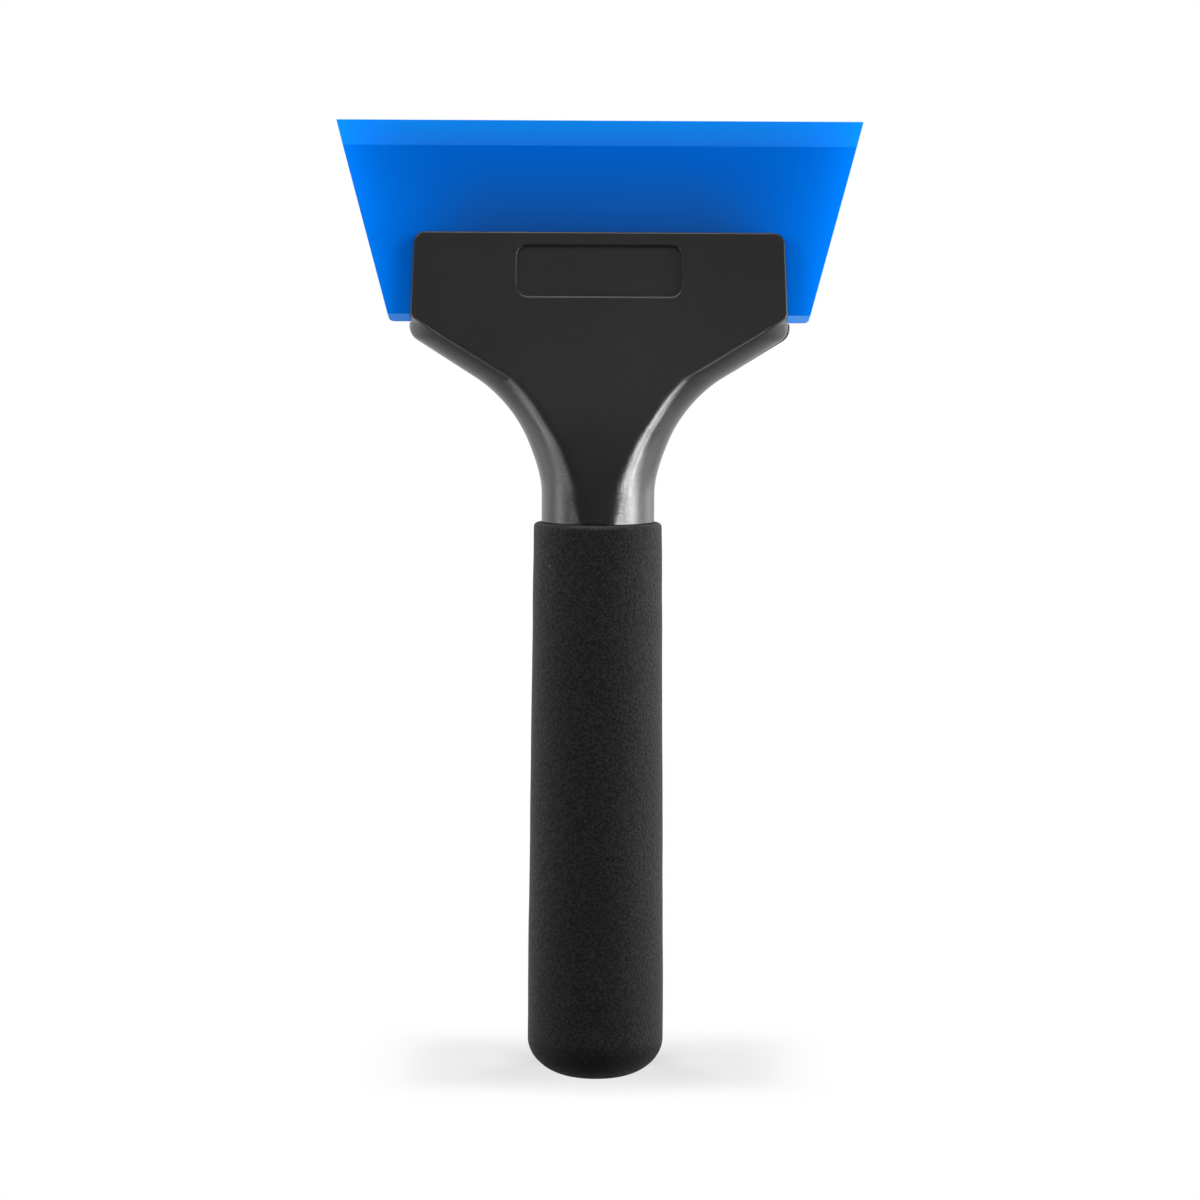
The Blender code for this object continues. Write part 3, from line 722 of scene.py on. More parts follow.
# %% Sizes of the handle
NECK_RADIUS = 14.4 * MM
GRIP_LENGTH = 142.7 * MM
FLAT_Z = GRIP_LENGTH + 1.8 * MM
FLARE_Z = GRIP_LENGTH + 7.2 * MM
FLARE_RADIUS = 35.0 * MM
FLARE_X = NECK_RADIUS + FLARE_RADIUS
SHOULDER_ANGLE = math.radians(31.7)
SHOULDER_RADIUS = 4.3 * MM
SHOULDER_X = 96.7 * MM / 2
MOUTH_X = 94.5 * MM / 2
MOUTH_CORNER_RADIUS = 3.0 * MM
MOUTH_THICKNESS = 13.6 * MM
FLAT_BLEND = 20.0 * MM
SIDE_INSET = 0.4 * MM
NECK_ROUNDING = 17.0 * MM
FIT = 0.3 * MM
SEAM = 0.4 * MM
NECK_Z = GRIP_LENGTH + FIT

shoulder_run = (FLARE_X - SHOULDER_X) * math.sin(SHOULDER_ANGLE)
SHOULDER_Z = FLARE_Z + (FLARE_RADIUS - shoulder_run) / math.cos(SHOULDER_ANGLE)
MOUTH_Z = SHOULDER_Z + 26.4 * MM
SEAT_Z = MOUTH_Z - 23.0 * MM
SLOT_FLOOR_Z = SEAT_Z - FIT
SCREW_Z = SEAT_Z - 8.8 * MM
JAW_END_Z = SCREW_Z - 8.8 * MM
print("shoulder, mouth in mm:", round(SHOULDER_Z / MM, 2), round(MOUTH_Z / MM, 2))

# %% Outline from the front
FLARE_STEPS, CORNER_STEPS = 40, 12
FULLER_BY = 0.75 * MM
FULLER_RISE = (150 * MM, 13 * MM)  # the start and the run of the swelling
FULLER_FALL = (172 * MM, 22 * MM)
CREASE_TABLE = (  # heights and half-widths in mm
    (148, 9.6), (156, 9.8), (159, 9.95), (161.5, 10.4), (164, 11.35), (166.5, 12.5), (169, 13.8),
    (171.5, 15.2), (174, 16.8), (176.5, 18.7), (179, 21.0), (182, 24.5), (184.5, 28.8),
    (188, 35.5), (190, 39.1),
)
CREASE_STEP = 0.1
CREASE_WINDOW = 61  # the crease is smoothed over this many steps


def arc_corner(before, corner, after, radius):
    """The points of an arc that rounds a corner between two straight lines."""
    return [Vector(p) for p in rounded([before, corner, after], [0, radius, 0], CORNER_STEPS)[1:-1]]


def smooth_step(height, start, run):
    """0 up to the start and 1 after the run, with a smooth step between them."""
    share = min(1.0, max(0.0, (height - start) / run))
    return share * share * (3 - 2 * share)


def fuller(height):
    """How much wider the real flare is than a plain arc: it leaves the neck more gently."""
    return FULLER_BY * smooth_step(height, *FULLER_RISE) * (1 - smooth_step(height, *FULLER_FALL))


def front_outline():
    """Half of the outline as (x, z) points, from the grip up to the mouth."""
    outline = [Vector((NECK_RADIUS, NECK_Z)), Vector((NECK_RADIUS, FLAT_Z))]
    for step in range(FLARE_STEPS + 1):
        turn = (math.pi / 2 - SHOULDER_ANGLE) * step / FLARE_STEPS
        x = FLARE_X - FLARE_RADIUS * math.cos(turn)
        outline.append(Vector((x, FLARE_Z + FLARE_RADIUS * math.sin(turn))))
    shoulder = Vector((SHOULDER_X, SHOULDER_Z))
    corner = Vector((MOUTH_X, MOUTH_Z))
    outline += arc_corner(outline[-1], shoulder, corner, SHOULDER_RADIUS)
    outline += arc_corner(shoulder, corner, (0, MOUTH_Z), MOUTH_CORNER_RADIUS)
    return [Vector((point.x + fuller(point.y), point.y)) for point in outline]


def read_off(height, points):
    """How far out an outline lies at a height."""
    return float(np.interp(height, [point.y for point in points], [point.x for point in points]))


OUTLINE = front_outline()
heights, halves = zip(*CREASE_TABLE)
crease_rows = np.arange(heights[0], heights[-1] + CREASE_STEP / 10, CREASE_STEP)
crease_line = np.interp(crease_rows, heights, halves)
soft_rows = np.pad(crease_line, CREASE_WINDOW // 2, mode="reflect", reflect_type="odd")
crease_line = np.convolve(soft_rows, np.ones(CREASE_WINDOW) / CREASE_WINDOW, mode="valid")


def half_width(height):
    """Half of the full width at a height."""
    return read_off(height, OUTLINE)


def face_depth(height):
    """How far the flat faces lie from the middle plane: upright at the neck, then leaning."""
    lean = (NECK_RADIUS - MOUTH_THICKNESS / 2) / (MOUTH_Z - FLAT_Z)
    along = (height - FLAT_Z) / NECK_ROUNDING
    if along > 1:
        return NECK_RADIUS - (height - FLAT_Z) * lean
    return NECK_RADIUS - lean * NECK_ROUNDING * (1 + along) ** 2 / 4


def shoulder_inset(height):
    """Half-width of the crease that runs inside the flare and the shoulder."""
    last_height, last_half = (value * MM for value in CREASE_TABLE[-1])
    if height > last_height:
        return last_half + (height - last_height) / math.tan(SHOULDER_ANGLE)
    return float(np.interp(height / MM, crease_rows, crease_line)) * MM


def flat_half_width(height):
    """Half-width of the flat face at a height."""
    plain_cut = math.sqrt(NECK_RADIUS ** 2 - face_depth(height) ** 2)
    bordered = min(shoulder_inset(height), half_width(height) - SIDE_INSET)
    return plain_cut + smooth_step(height, FLARE_Z, FLAT_BLEND) * (bordered - plain_cut)


print("outline points:", len(OUTLINE))

# %% [markdown]
# ## Level sections
# Each level section of the head is flat in front and behind and round at both sides. The
# round border meets the flat face in a crease, which on the real moulding is softened by
# the mould maker's cutter. The crease is eased here with a short curve, and so are the
# long edges where the two jaws part. Every section has equally many points, so the same
# loft can change from a full section to one jaw's half.

# %% Sections
PARTING_Y = SEAM / 2
SLOT_WALL_Y = 3.3 * MM
CREASE_EASES = ((143, 1.4), (150, 2.4), (165, 2.4), (185, 1.5), (193, 1.1), (195.5, 0.5))
PROUD_BY = ((178, 0.0), (184, 0.55), (191, 0.5), (195, 0.25), (217, 0.2))
EDGE_EASE = 0.35 * MM
EASE_STEPS, SIDE_STEPS, BORDER_STEPS, CREASE_STEPS = 5, 5, 16, 8
ROW_GAP = 0.15 * MM
EXTRA_ROWS = list(np.linspace(NECK_Z, FLARE_Z, 10)) + list(np.linspace(SHOULDER_Z, MOUTH_Z, 24))


def from_table(height, table):
    """What a table of heights and sizes in mm gives for a height between its rows."""
    heights, sizes = ([value * MM for value in column] for column in zip(*table))
    return float(np.interp(height, heights, sizes))


def eased(start, corner, end, steps):
    """Points of a short curve that cuts a corner."""
    shares = [step / steps for step in range(steps + 1)]
    return [start.lerp(corner, share).lerp(corner.lerp(end, share), share) for share in shares]


def quarter_section(height, part, shrink):
    """From the side round to the flat face, as (x, depth) points of the right front.

    The part is whole, parted (closed at the parting plane) or slotted (at the slot's wall).
    """
    side = half_width(height)
    flat = flat_half_width(height)
    sweep = math.asin(face_depth(height) / NECK_RADIUS)
    reach = (side - flat) / (1 - math.cos(sweep))

    def border(turn):
        x = side - reach * (1 - math.cos(turn)) - shrink * math.cos(turn)
        return Vector((x, NECK_RADIUS * math.sin(turn) - shrink * math.sin(turn) / math.sin(sweep)))

    def bend(first, last, steps):
        return [border(turn) for turn in np.linspace(first, last, steps + 1)]

    def past(turn, distance):
        pace = math.hypot(reach * math.sin(turn), NECK_RADIUS * math.cos(turn))
        return turn + distance / pace

    def square_edge(turn, y):
        edge = Vector((border(turn).x, y + shrink))
        end = border(past(turn, EDGE_EASE))
        return eased(edge - Vector((EDGE_EASE, 0)), edge, end, EASE_STEPS)

    parting = math.asin(PARTING_Y / NECK_RADIUS)
    wall = math.asin(SLOT_WALL_Y / NECK_RADIUS)
    wall_eased = past(wall, EDGE_EASE)
    if part == "slotted":
        points = square_edge(wall, SLOT_WALL_Y)
        points = [points[0]] * SIDE_STEPS + points
    else:
        parting_eased = past(parting, EDGE_EASE)
        if part == "parted":
            points = square_edge(parting, PARTING_Y)
        else:
            points = bend(parting, parting_eased, EASE_STEPS)
        points += bend(parting_eased, wall_eased, SIDE_STEPS)[1:]
    ease = min(from_table(height, CREASE_EASES), 0.8 * flat)
    points += bend(wall_eased, past(sweep, -ease), BORDER_STEPS)[1:]
    corner = border(sweep)
    return points + eased(points[-1], corner, corner - Vector((ease, 0)), CREASE_STEPS)[1:]


def half_section(height, side, part="whole", shrink=0.0):
    """Half a section from right to left: side is -1 for the front and 1 for the rear.

    On the right the rear jaw stands a little proud of the front one, as on the real tool.
    """
    quarter = quarter_section(height, part, shrink)
    proud = from_table(height, PROUD_BY) if side > 0 and part != "whole" else 0.0
    right = [(point.x + proud, side * point.y, height) for point in quarter]
    return right + [(-point.x, side * point.y, height) for point in reversed(quarter)]


def full_ring(height, rear_shrink=0.0):
    """A whole section: the front half from right to left, then the rear half back."""
    rear = half_section(height, 1, shrink=rear_shrink)
    return half_section(height, -1) + rear[::-1]


def jaw_ring(height, side, part="parted", shrink=0.0):
    """One jaw's section: its outer half, closed straight along the jaw's inner face.

    The points left over wait at the two ends of that straight, where they merge later.
    """
    outer = half_section(height, side, part, shrink)
    waiting = len(outer) // 2
    return outer + [outer[-1]] * waiting + [outer[0]] * waiting


def heights_between(low, high):
    """Heights for rings: the outline's own, with more on the neck and up the jaw's side."""
    chosen = []
    for row in sorted([point.y for point in OUTLINE] + EXTRA_ROWS):
        if low + ROW_GAP < row < high - ROW_GAP and (not chosen or row > chosen[-1] + ROW_GAP):
            chosen.append(float(row))
    return chosen


def lip(height, radius, direction, steps=6):
    """Heights and shrinks that round the edge at the end of a jaw over a radius."""
    return [
        (height - direction * radius * (1 - math.sin(turn)), radius * (1 - math.cos(turn)))
        for turn in quarter_turns(steps)
    ]


print("points in a ring:", len(full_ring(NECK_Z)))

# %% [markdown]
# ## Handle: front jaw, neck and core
# One moulding makes the front jaw, the neck and the hollow tube inside the grip. The loft
# starts at the top of the tube's bore, comes down inside, turns round the tube's end, and
# climbs outside to the mouth. At the foot of the rear jaw it steps in to the parting
# plane, and at the blade's foot it steps in again to the slot's wall.

# %% Handle loft
CORE_RADIUS = 12.5 * MM
BORE_RADIUS = 9.5 * MM
BORE_TOP_Z = GRIP_LENGTH + 19 * MM
BORE_TOP_RADIUS = 4 * MM
BORE_CONE = 3 * MM
CORE_END_Z = 9.1 * MM
CORE_END_EASE = 0.4 * MM
LIP_RADIUS = 0.3 * MM
SEAM_ROUND = 0.3 * MM


def core_ring(radius, height):
    """A round ring with its points at the same bearings as the neck's."""
    arms = [Vector((x, y)).normalized() * radius for x, y, _ in full_ring(NECK_Z)]
    return [(arm.x, arm.y, height) for arm in arms]


def jaw_rows(side, low):
    """Rings of one jaw from a height up to its rounded mouth."""
    rings = [jaw_ring(height, side) for height in heights_between(low, SLOT_FLOOR_Z)]
    rings += [jaw_ring(SLOT_FLOOR_Z, side), jaw_ring(SLOT_FLOOR_Z, side, "slotted")]
    mouth_rows = lip(MOUTH_Z, LIP_RADIUS, 1)
    rows = [(height, 0.0) for height in heights_between(SLOT_FLOOR_Z, mouth_rows[0][0])]
    rows += mouth_rows
    return rings + [jaw_ring(height, side, "slotted", shrink) for height, shrink in rows]


def handle_rings():
    core_rows = (
        (BORE_TOP_RADIUS, BORE_TOP_Z),
        (BORE_RADIUS, BORE_TOP_Z - BORE_CONE),
        (BORE_RADIUS, CORE_END_Z + CORE_END_EASE),
        (BORE_RADIUS + CORE_END_EASE, CORE_END_Z),
        (CORE_RADIUS - CORE_END_EASE, CORE_END_Z),
        (CORE_RADIUS, CORE_END_Z + CORE_END_EASE),
        (CORE_RADIUS, NECK_Z),
    )
    rings = [core_ring(radius, height) for radius, height in core_rows]
    seam_rows = lip(JAW_END_Z, SEAM_ROUND, 1, 3)
    neck_heights = [NECK_Z] + heights_between(NECK_Z, seam_rows[0][0])
    rows = [(height, 0.0) for height in neck_heights] + seam_rows
    rings += [full_ring(height, shrink) for height, shrink in rows]
    return rings + [jaw_ring(JAW_END_Z, -1)] + jaw_rows(-1, JAW_END_Z)


handle = as_object("front_jaw_and_neck", loft(handle_rings()), HANDLE_PLASTIC)
tell(handle)

# %% [markdown]
# ## What is sunk into the jaws
# The front face has a shallow panel with rounded corners for a label, left bare here.
# Its rim rolls over into the face and its wall leans a little, so that the moulding
# comes out of its mould. Inside the parting face are pockets for the brass nuts, holes
# for two pegs and a hollow that saves plastic. Each is cut out with a tool of its own
# shape.

# %% Panel and pockets
PANEL_WIDTH = 41.9 * MM
PANEL_HEIGHT = 13.2 * MM
PANEL_RADIUS = 2.8 * MM
PANEL_DEPTH = 1.0 * MM
PANEL_RIM = 0.25 * MM
PANEL_RIM_TURN = math.radians(12)  # the tool leaves the face at this angle
PANEL_BELOW_MOUTH = 3.2 * MM
PANEL_FLOOR = ((0.05, 0.2), (0.12, 0.05), (0.28, 0.0))  # how far in and above it, in mm
TOOL_OVER = 0.3 * MM  # how far the tool reaches out of the face
SCREW_X = 21.0 * MM
PEG_Z = SEAT_Z - 5.3 * MM
PEG_X = (SCREW_X + half_width(PEG_Z)) / 2
PEG_HOLE = [(1.8 * MM, -3.5 * MM), (1.8 * MM, 1 * MM)]
INSERT_RADIUS = 3.2 * MM
SCREW_TIP_Y = -7.4 * MM
COUNTERBORE_RADIUS = 5.0 * MM
COUNTERBORE_Y = 5.2 * MM
CORED_WALL = 3.0 * MM


def rounded_rectangle(width, height, radius, steps=8):
    """Points of a rectangle with round corners, about its middle."""
    corners = []
    for index, (a, b) in enumerate(((1, 1), (-1, 1), (-1, -1), (1, -1))):
        middle = Vector((a * (width / 2 - radius), b * (height / 2 - radius)))
        for step in range(steps + 1):
            turn = math.pi / 2 * (index + step / steps)
            corners.append(middle + Vector((math.cos(turn), math.sin(turn))) * radius)
    return corners


def panel_tool():
    """The panel's pocket as a solid: rolled rim, leaning wall and eased floor corner."""
    turns = np.linspace(PANEL_RIM_TURN, math.pi / 2, 7)
    rows = [(PANEL_RIM * (1 - math.sin(t)), -PANEL_RIM * (1 - math.cos(t))) for t in turns]
    spread = (TOOL_OVER - rows[0][1]) / math.tan(PANEL_RIM_TURN)
    rows.insert(0, (rows[0][0] + spread, TOOL_OVER))
    for shrink, above_floor in PANEL_FLOOR:
        rows.append((-shrink * MM, -PANEL_DEPTH + above_floor * MM))
    tilt = math.atan((face_depth(SEAT_Z) - face_depth(MOUTH_Z)) / (MOUTH_Z - SEAT_Z))
    centre_z = MOUTH_Z - PANEL_BELOW_MOUTH - PANEL_HEIGHT / 2
    rings = []
    for grow, above in rows:
        width, height = PANEL_WIDTH + 2 * grow, PANEL_HEIGHT + 2 * grow
        ring = []
        for point in rounded_rectangle(width, height, PANEL_RADIUS + grow):
            up = point.y * math.cos(tilt) + above * math.sin(tilt)
            out = point.y * math.sin(tilt) - above * math.cos(tilt)
            ring.append((point.x, out - face_depth(centre_z), centre_z + up))
        rings.append(ring)
    return as_object("panel_tool", loft(rings))


def round_tool(name, profile, x, z, steps=40):
    """A turned tool on the Y direction, through the parting plane."""
    return place_along_y(as_object(name, lathe(profile, steps)), x, 0, z)


def hollow_tool(side):
    """The block that saves plastic in one jaw, with an even wall round it."""
    half = SCREW_X - COUNTERBORE_RADIUS - CORED_WALL
    top = SLOT_FLOOR_Z - CORED_WALL
    low_y, high_y = sorted((0, side * (face_depth(top) - CORED_WALL)))
    corners = [(-half, low_y), (half, low_y), (half, high_y), (-half, high_y)]
    rings = [[(x, y, z) for x, y in corners] for z in (JAW_END_Z + CORED_WALL, top)]
    return as_object("hollow_tool", loft(rings))


pocket = [(INSERT_RADIUS + FIT, SCREW_TIP_Y - FIT), (INSERT_RADIUS + FIT, 1 * MM)]
tools = [panel_tool(), hollow_tool(-1)]
for sign in (-1, 1):
    tools.append(round_tool("nut_pocket", pocket, sign * SCREW_X, SCREW_Z))
    tools.append(round_tool("peg_hole", PEG_HOLE, sign * PEG_X, PEG_Z))
shaded(cut(handle, tools))
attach(handle, "handle")
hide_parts("handle_body")
tell(handle)

# %% [markdown]
# ## Rear jaw
# The rear jaw is the mirror of the front one above the seam, with no panel. Two
# counterbores take the screws' heads and washers, and two pegs on its parting face find
# their holes in the front jaw. On the right it stands half a millimetre proud of the
# front jaw, as on the real tool.

# %% Rear jaw
COUNTERBORE = [
    (2.3 * MM, -1 * MM), (2.3 * MM, COUNTERBORE_Y),
    (COUNTERBORE_RADIUS, COUNTERBORE_Y), (COUNTERBORE_RADIUS, 20 * MM),
]
PEG = [(0.9 * MM, -2.8 * MM), (1.5 * MM, -2.8 * MM), (1.5 * MM, 3.2 * MM)]
PEG_ROUNDING = [0, 0.4 * MM, 0]

foot_rows = lip(JAW_END_Z + SEAM, SEAM_ROUND, -1, 3)[::-1]
rings = [jaw_ring(height, 1, "parted", shrink) for height, shrink in foot_rows]
rings += jaw_rows(1, foot_rows[-1][0])
rear_jaw = as_object("rear_clamp_jaw", loft(rings), JAW_PLASTIC)
tools = [hollow_tool(1)]
pegs = []
for sign in (-1, 1):
    tools.append(round_tool("counterbore", COUNTERBORE, sign * SCREW_X, SCREW_Z, 64))
    pegs.append(round_tool("peg", rounded(PEG, PEG_ROUNDING), sign * PEG_X, PEG_Z))
cut(rear_jaw, tools)
shaded(cut(rear_jaw, pegs, "UNION"))
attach(rear_jaw, "clamp")
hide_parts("rear_jaw")
tell(rear_jaw)

# %% [markdown]
# ## Blade
# The blade is cut from a cast sheet, so its ends are straight and its edges crisp. The
# long bevels at the top are ground from both sides, and a small bevel runs along its
# foot. The loft goes up in level rows, with close rows at each bevel so that the crease
# stays sharp without a hard black line, and a small radius on the four upright corners.

# %% Blade loft
CORNER_EASE = 0.25 * MM
CREASE_ROWS = 0.12 * MM
FOOT_ROWS = (0.10, 0.22, 0.4, 0.6, 0.8, 1.0)  # shares of the foot corner's radius
BEVEL_ROWS = (0.6, 0.3, 0.06)  # shares of the long bevel's height
MIDDLE_ROWS, MIDDLE_GAP = 12, 2 * MM
END_EASE = 0.12 * MM
TOP_DROP, TOP_SHRINK = 0.04 * MM, 0.03 * MM
BLADE_SMOOTH = math.radians(40)


def blade_half(height):
    """Half-width of the blade at a height, with the round foot corner."""
    plain = BLADE_WIDTH / 2 - (BLADE_TOP - height) * SLOPE
    foot = Vector((BLADE_WIDTH / 2 - BLADE_HEIGHT * SLOPE, BLADE_FOOT))
    corner = arc_corner((0, BLADE_FOOT), foot, (BLADE_WIDTH / 2, BLADE_TOP), FOOT_CORNER_RADIUS)
    return plain if height >= corner[-1].y else read_off(height, corner)


def blade_depth(height):
    """Half-thickness of the blade at a height."""
    above_foot = height - BLADE_FOOT
    below_top = BLADE_TOP - height
    if above_foot < FOOT_BEVEL_HEIGHT:
        return BLADE_THICKNESS / 2 - FOOT_BEVEL_DEPTH * (1 - above_foot / FOOT_BEVEL_HEIGHT)
    if below_top < EDGE_BEVEL_HEIGHT:
        share = below_top / EDGE_BEVEL_HEIGHT
        return EDGE_THICKNESS / 2 + (BLADE_THICKNESS - EDGE_THICKNESS) / 2 * share
    return BLADE_THICKNESS / 2


def blade_ring(height, shrink=0.0):
    """A level row of the blade, with its four corners rounded."""
    width, thickness = (2 * (half(height) - shrink) for half in (blade_half, blade_depth))
    outline = rounded_rectangle(width, thickness, CORNER_EASE, 4)
    return [(point.x, point.y, height) for point in outline]


def blade_heights():
    rows = [BLADE_FOOT + share * FOOT_CORNER_RADIUS for share in FOOT_ROWS]
    bevel = BLADE_FOOT + FOOT_BEVEL_HEIGHT
    crease = BLADE_TOP - EDGE_BEVEL_HEIGHT
    for height in (bevel, crease):
        rows += [height - CREASE_ROWS, height, height + CREASE_ROWS]
    rows += list(np.linspace(bevel + MIDDLE_GAP, crease - MIDDLE_GAP, MIDDLE_ROWS))
    rows += [BLADE_TOP - share * EDGE_BEVEL_HEIGHT for share in BEVEL_ROWS]
    return sorted(rows)


rings = [blade_ring(BLADE_FOOT, END_EASE)] + [blade_ring(height) for height in blade_heights()]
rings += [blade_ring(BLADE_TOP - TOP_DROP, TOP_SHRINK), blade_ring(BLADE_TOP, END_EASE)]
blade = shaded(as_object("blue_blade", loft(rings), BLUE), BLADE_SMOOTH)
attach(blade, "squeegee_blade")
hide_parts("blade")
tell(blade)

# %% [markdown]
# ## Foam grip
# The sleeve is soft, so it is never a perfect cylinder: it swells a little away from the
# rim, its skin wanders by a tenth of a millimetre, and its closed end is drawn round. A
# lathe gives the form with the bore inside, and smooth random waves then press the outer
# skin inwards, never outwards, so that it stays in its space.

# %% Foam grip
FOAM_RADIUS = 17.4 * MM
FOAM_RIM_RADIUS = 16.4 * MM
FOAM_BORE_RADIUS = 12.8 * MM
FOAM_BORE_EASE = 0.5 * MM
FOAM_END_WALL = 6.5 * MM
FOAM_MIDDLE = 0.35 * MM
BORE_MIDDLE = 1.0 * MM
TAPER_START = 25.0 * MM
END_HEIGHT = 10.2 * MM
END_FLAT = 3.6 * MM
RIM_ROUND = 1.1 * MM
FOAM_ROW_GAP = 1.5 * MM
END_STEPS, RIM_STEPS, FOAM_STEPS = 24, 8, 144
FOAM_SMOOTH = math.radians(60)
WANDER = 0.10 * MM
WAVES, WAVE_SEED = 14, 7
WAVE_TURNS = (1, 6)
WAVE_RISES = (40, 420)  # in radians to the metre


def foam_profile():
    """From the middle of the end, up the outside, over the rim and down the bore."""
    points = [(FOAM_MIDDLE, 0.0), (END_FLAT * 0.6, 0.0)]
    for turn in reversed(quarter_turns(END_STEPS)):
        radius = END_FLAT + (FOAM_RADIUS - END_FLAT) * math.cos(turn)
        points.append((radius, END_HEIGHT * (1 - math.sin(turn))))
    straight = GRIP_LENGTH - RIM_ROUND
    rows = np.arange(END_HEIGHT + FOAM_ROW_GAP, straight - FOAM_ROW_GAP / 3, FOAM_ROW_GAP)
    for height in rows:
        share = max(0.0, (height - TAPER_START) / (GRIP_LENGTH - TAPER_START))
        points.append((FOAM_RADIUS + (FOAM_RIM_RADIUS - FOAM_RADIUS) * share, height))
    for turn in quarter_turns(RIM_STEPS):
        radius = FOAM_RIM_RADIUS - RIM_ROUND * (1 - math.cos(turn))
        points.append((radius, straight + RIM_ROUND * math.sin(turn)))
    return points + [
        (FOAM_BORE_RADIUS + FOAM_BORE_EASE, GRIP_LENGTH),
        (FOAM_BORE_RADIUS, GRIP_LENGTH - FOAM_BORE_EASE),
        (FOAM_BORE_RADIUS, FOAM_END_WALL + FOAM_BORE_EASE),
        (FOAM_BORE_RADIUS - FOAM_BORE_EASE, FOAM_END_WALL),
        (BORE_MIDDLE, FOAM_END_WALL),
    ]


draw = np.random.default_rng(WAVE_SEED)
waves = []
for _ in range(WAVES):
    turns = int(draw.integers(*WAVE_TURNS))
    rise = draw.uniform(*WAVE_RISES)
    waves.append((turns, rise, draw.uniform(0, 2 * math.pi)))


def wave(around, height):
    """A smooth random number between 0 and 1 for a place on the sleeve."""
    total = sum(np.sin(turns * around + rise * height + start) for turns, rise, start in waves)
    return 0.5 + 0.5 * np.tanh(total / 4)


foam = as_object("foam_sleeve", lathe(foam_profile(), FOAM_STEPS), FOAM)
for vertex in foam.data.vertices:
    radius = math.hypot(vertex.co.x, vertex.co.y)
    if radius > FOAM_BORE_RADIUS + 1 * MM and vertex.co.z > 1 * MM:
        around = math.atan2(vertex.co.y, vertex.co.x)
        press = 1 - WANDER * wave(around, vertex.co.z) / radius
        vertex.co.x *= press
        vertex.co.y *= press
shaded(foam, FOAM_SMOOTH)
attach(foam, "handle")
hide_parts("foam_grip")
tell(foam)

# %% [markdown]
# ## Gripping ribs
# Each jaw holds the blade with a row of ribs across its slot wall. Ribs repeat, so
# Geometry Nodes make them: one rounded rib is swept along a line, and a copy of it is put
# at each height, as long as the jaw is wide there. Inputs with names let the same tree
# serve both jaws.

# %% Geometry Nodes helper
def geometry_tree(name, inputs):
    """A tree with named inputs. Gives its desk, its input sockets and their identifiers."""
    tree = bpy.data.node_groups.new(name, "GeometryNodeTree")
    keys = {}
    for label, kind in ({"Geometry": "Geometry"} | inputs).items():
        socket = tree.interface.new_socket(label, in_out="INPUT", socket_type="NodeSocket" + kind)
        keys[label] = socket.identifier
    tree.interface.new_socket("Geometry", in_out="OUTPUT", socket_type="NodeSocketGeometry")
    desk = Desk(tree)
    entry = desk.node("NodeGroupInput")
    return desk, {label: Number(desk, entry.outputs[label]) for label in keys}, keys


def points_of(desk):
    """The X, Y and Z of a mesh's points, and their bearing round Z in turns."""
    x, y, z = desk.split(desk.first("GeometryNodeInputPosition"))
    return x, y, z, desk.maths("ARCTAN2", y, x) / (2 * math.pi)


def moved(desk, geometry, x, y, z):
    """A mesh with its points at new places."""
    inputs = {"Geometry": geometry, "Position": desk.place(x, y, z)}
    return desk.first("GeometryNodeSetPosition", inputs)


def close_tree(desk, geometry, material):
    """End a tree: copies made real, material set, result passed out."""
    real = desk.first("GeometryNodeRealizeInstances", {0: geometry})
    painted = desk.first("GeometryNodeSetMaterial", {"Geometry": real, "Material": material})
    desk.node("NodeGroupOutput", {0: painted})


def grown(name, desk, keys, values, base=None):
    """A plain mesh made by a tree, on an object of its own."""
    made = base or linked(name, bpy.data.meshes.new(name))
    modifier = made.modifiers.new(desk.tree.name, "NODES")
    modifier.node_group = desk.tree
    for label, value in values.items():
        modifier[keys[label]] = value
    return baked(made, name)

# %% Rib tree
RIB_SIDES = 14

rib_sizes = ("First height", "Pitch", "First half length", "Change per rib", "Width", "Height")
rib_inputs = {"Count": "Int", "Wall": "Float"} | dict.fromkeys(rib_sizes, "Float")
rib_desk, wires, rib_keys = geometry_tree("gripping_ribs", rib_inputs)
line = rib_desk.first("GeometryNodeCurvePrimitiveLine", {"Start": (-1.0, 0, 0), "End": (1.0, 0, 0)})
ring = rib_desk.first("GeometryNodeCurvePrimitiveCircle", {"Resolution": RIB_SIDES, "Radius": 1.0})
swept = {"Curve": line, "Profile Curve": ring, "Fill Caps": True}
rib = rib_desk.first("GeometryNodeCurveToMesh", swept)
column = {
    "Count": wires["Count"],
    "Start Location": rib_desk.place(0.0, wires["Wall"], wires["First height"]),
    "Offset": rib_desk.place(0.0, 0.0, wires["Pitch"]),
}
rows = rib_desk.first("GeometryNodeMeshLine", column, mode="OFFSET")
index = rib_desk.first("GeometryNodeInputIndex")
rib_reach = wires["First half length"] + index * wires["Change per rib"]
size = rib_desk.place(rib_reach, wires["Height"], wires["Width"] * 0.5)
spread = {"Points": rows, "Instance": rib, "Scale": size}
copies = rib_desk.first("GeometryNodeInstanceOnPoints", spread)
close_tree(rib_desk, copies, HANDLE_PLASTIC)
print("rib tree nodes:", len(rib_desk.tree.nodes))

# %% Ribs of both jaws
RIB_PITCH = 4.4 * MM
RIB_WIDTH = 1.4 * MM
RIB_HEIGHT = 0.5 * MM
RIB_MARGIN = 2.5 * MM
RIB_END_GAP = 1.2 * MM

first_rib = SEAT_Z + RIB_MARGIN + RIB_WIDTH / 2
rib_count = int((MOUTH_Z - RIB_MARGIN - RIB_WIDTH / 2 - first_rib) / RIB_PITCH) + 1


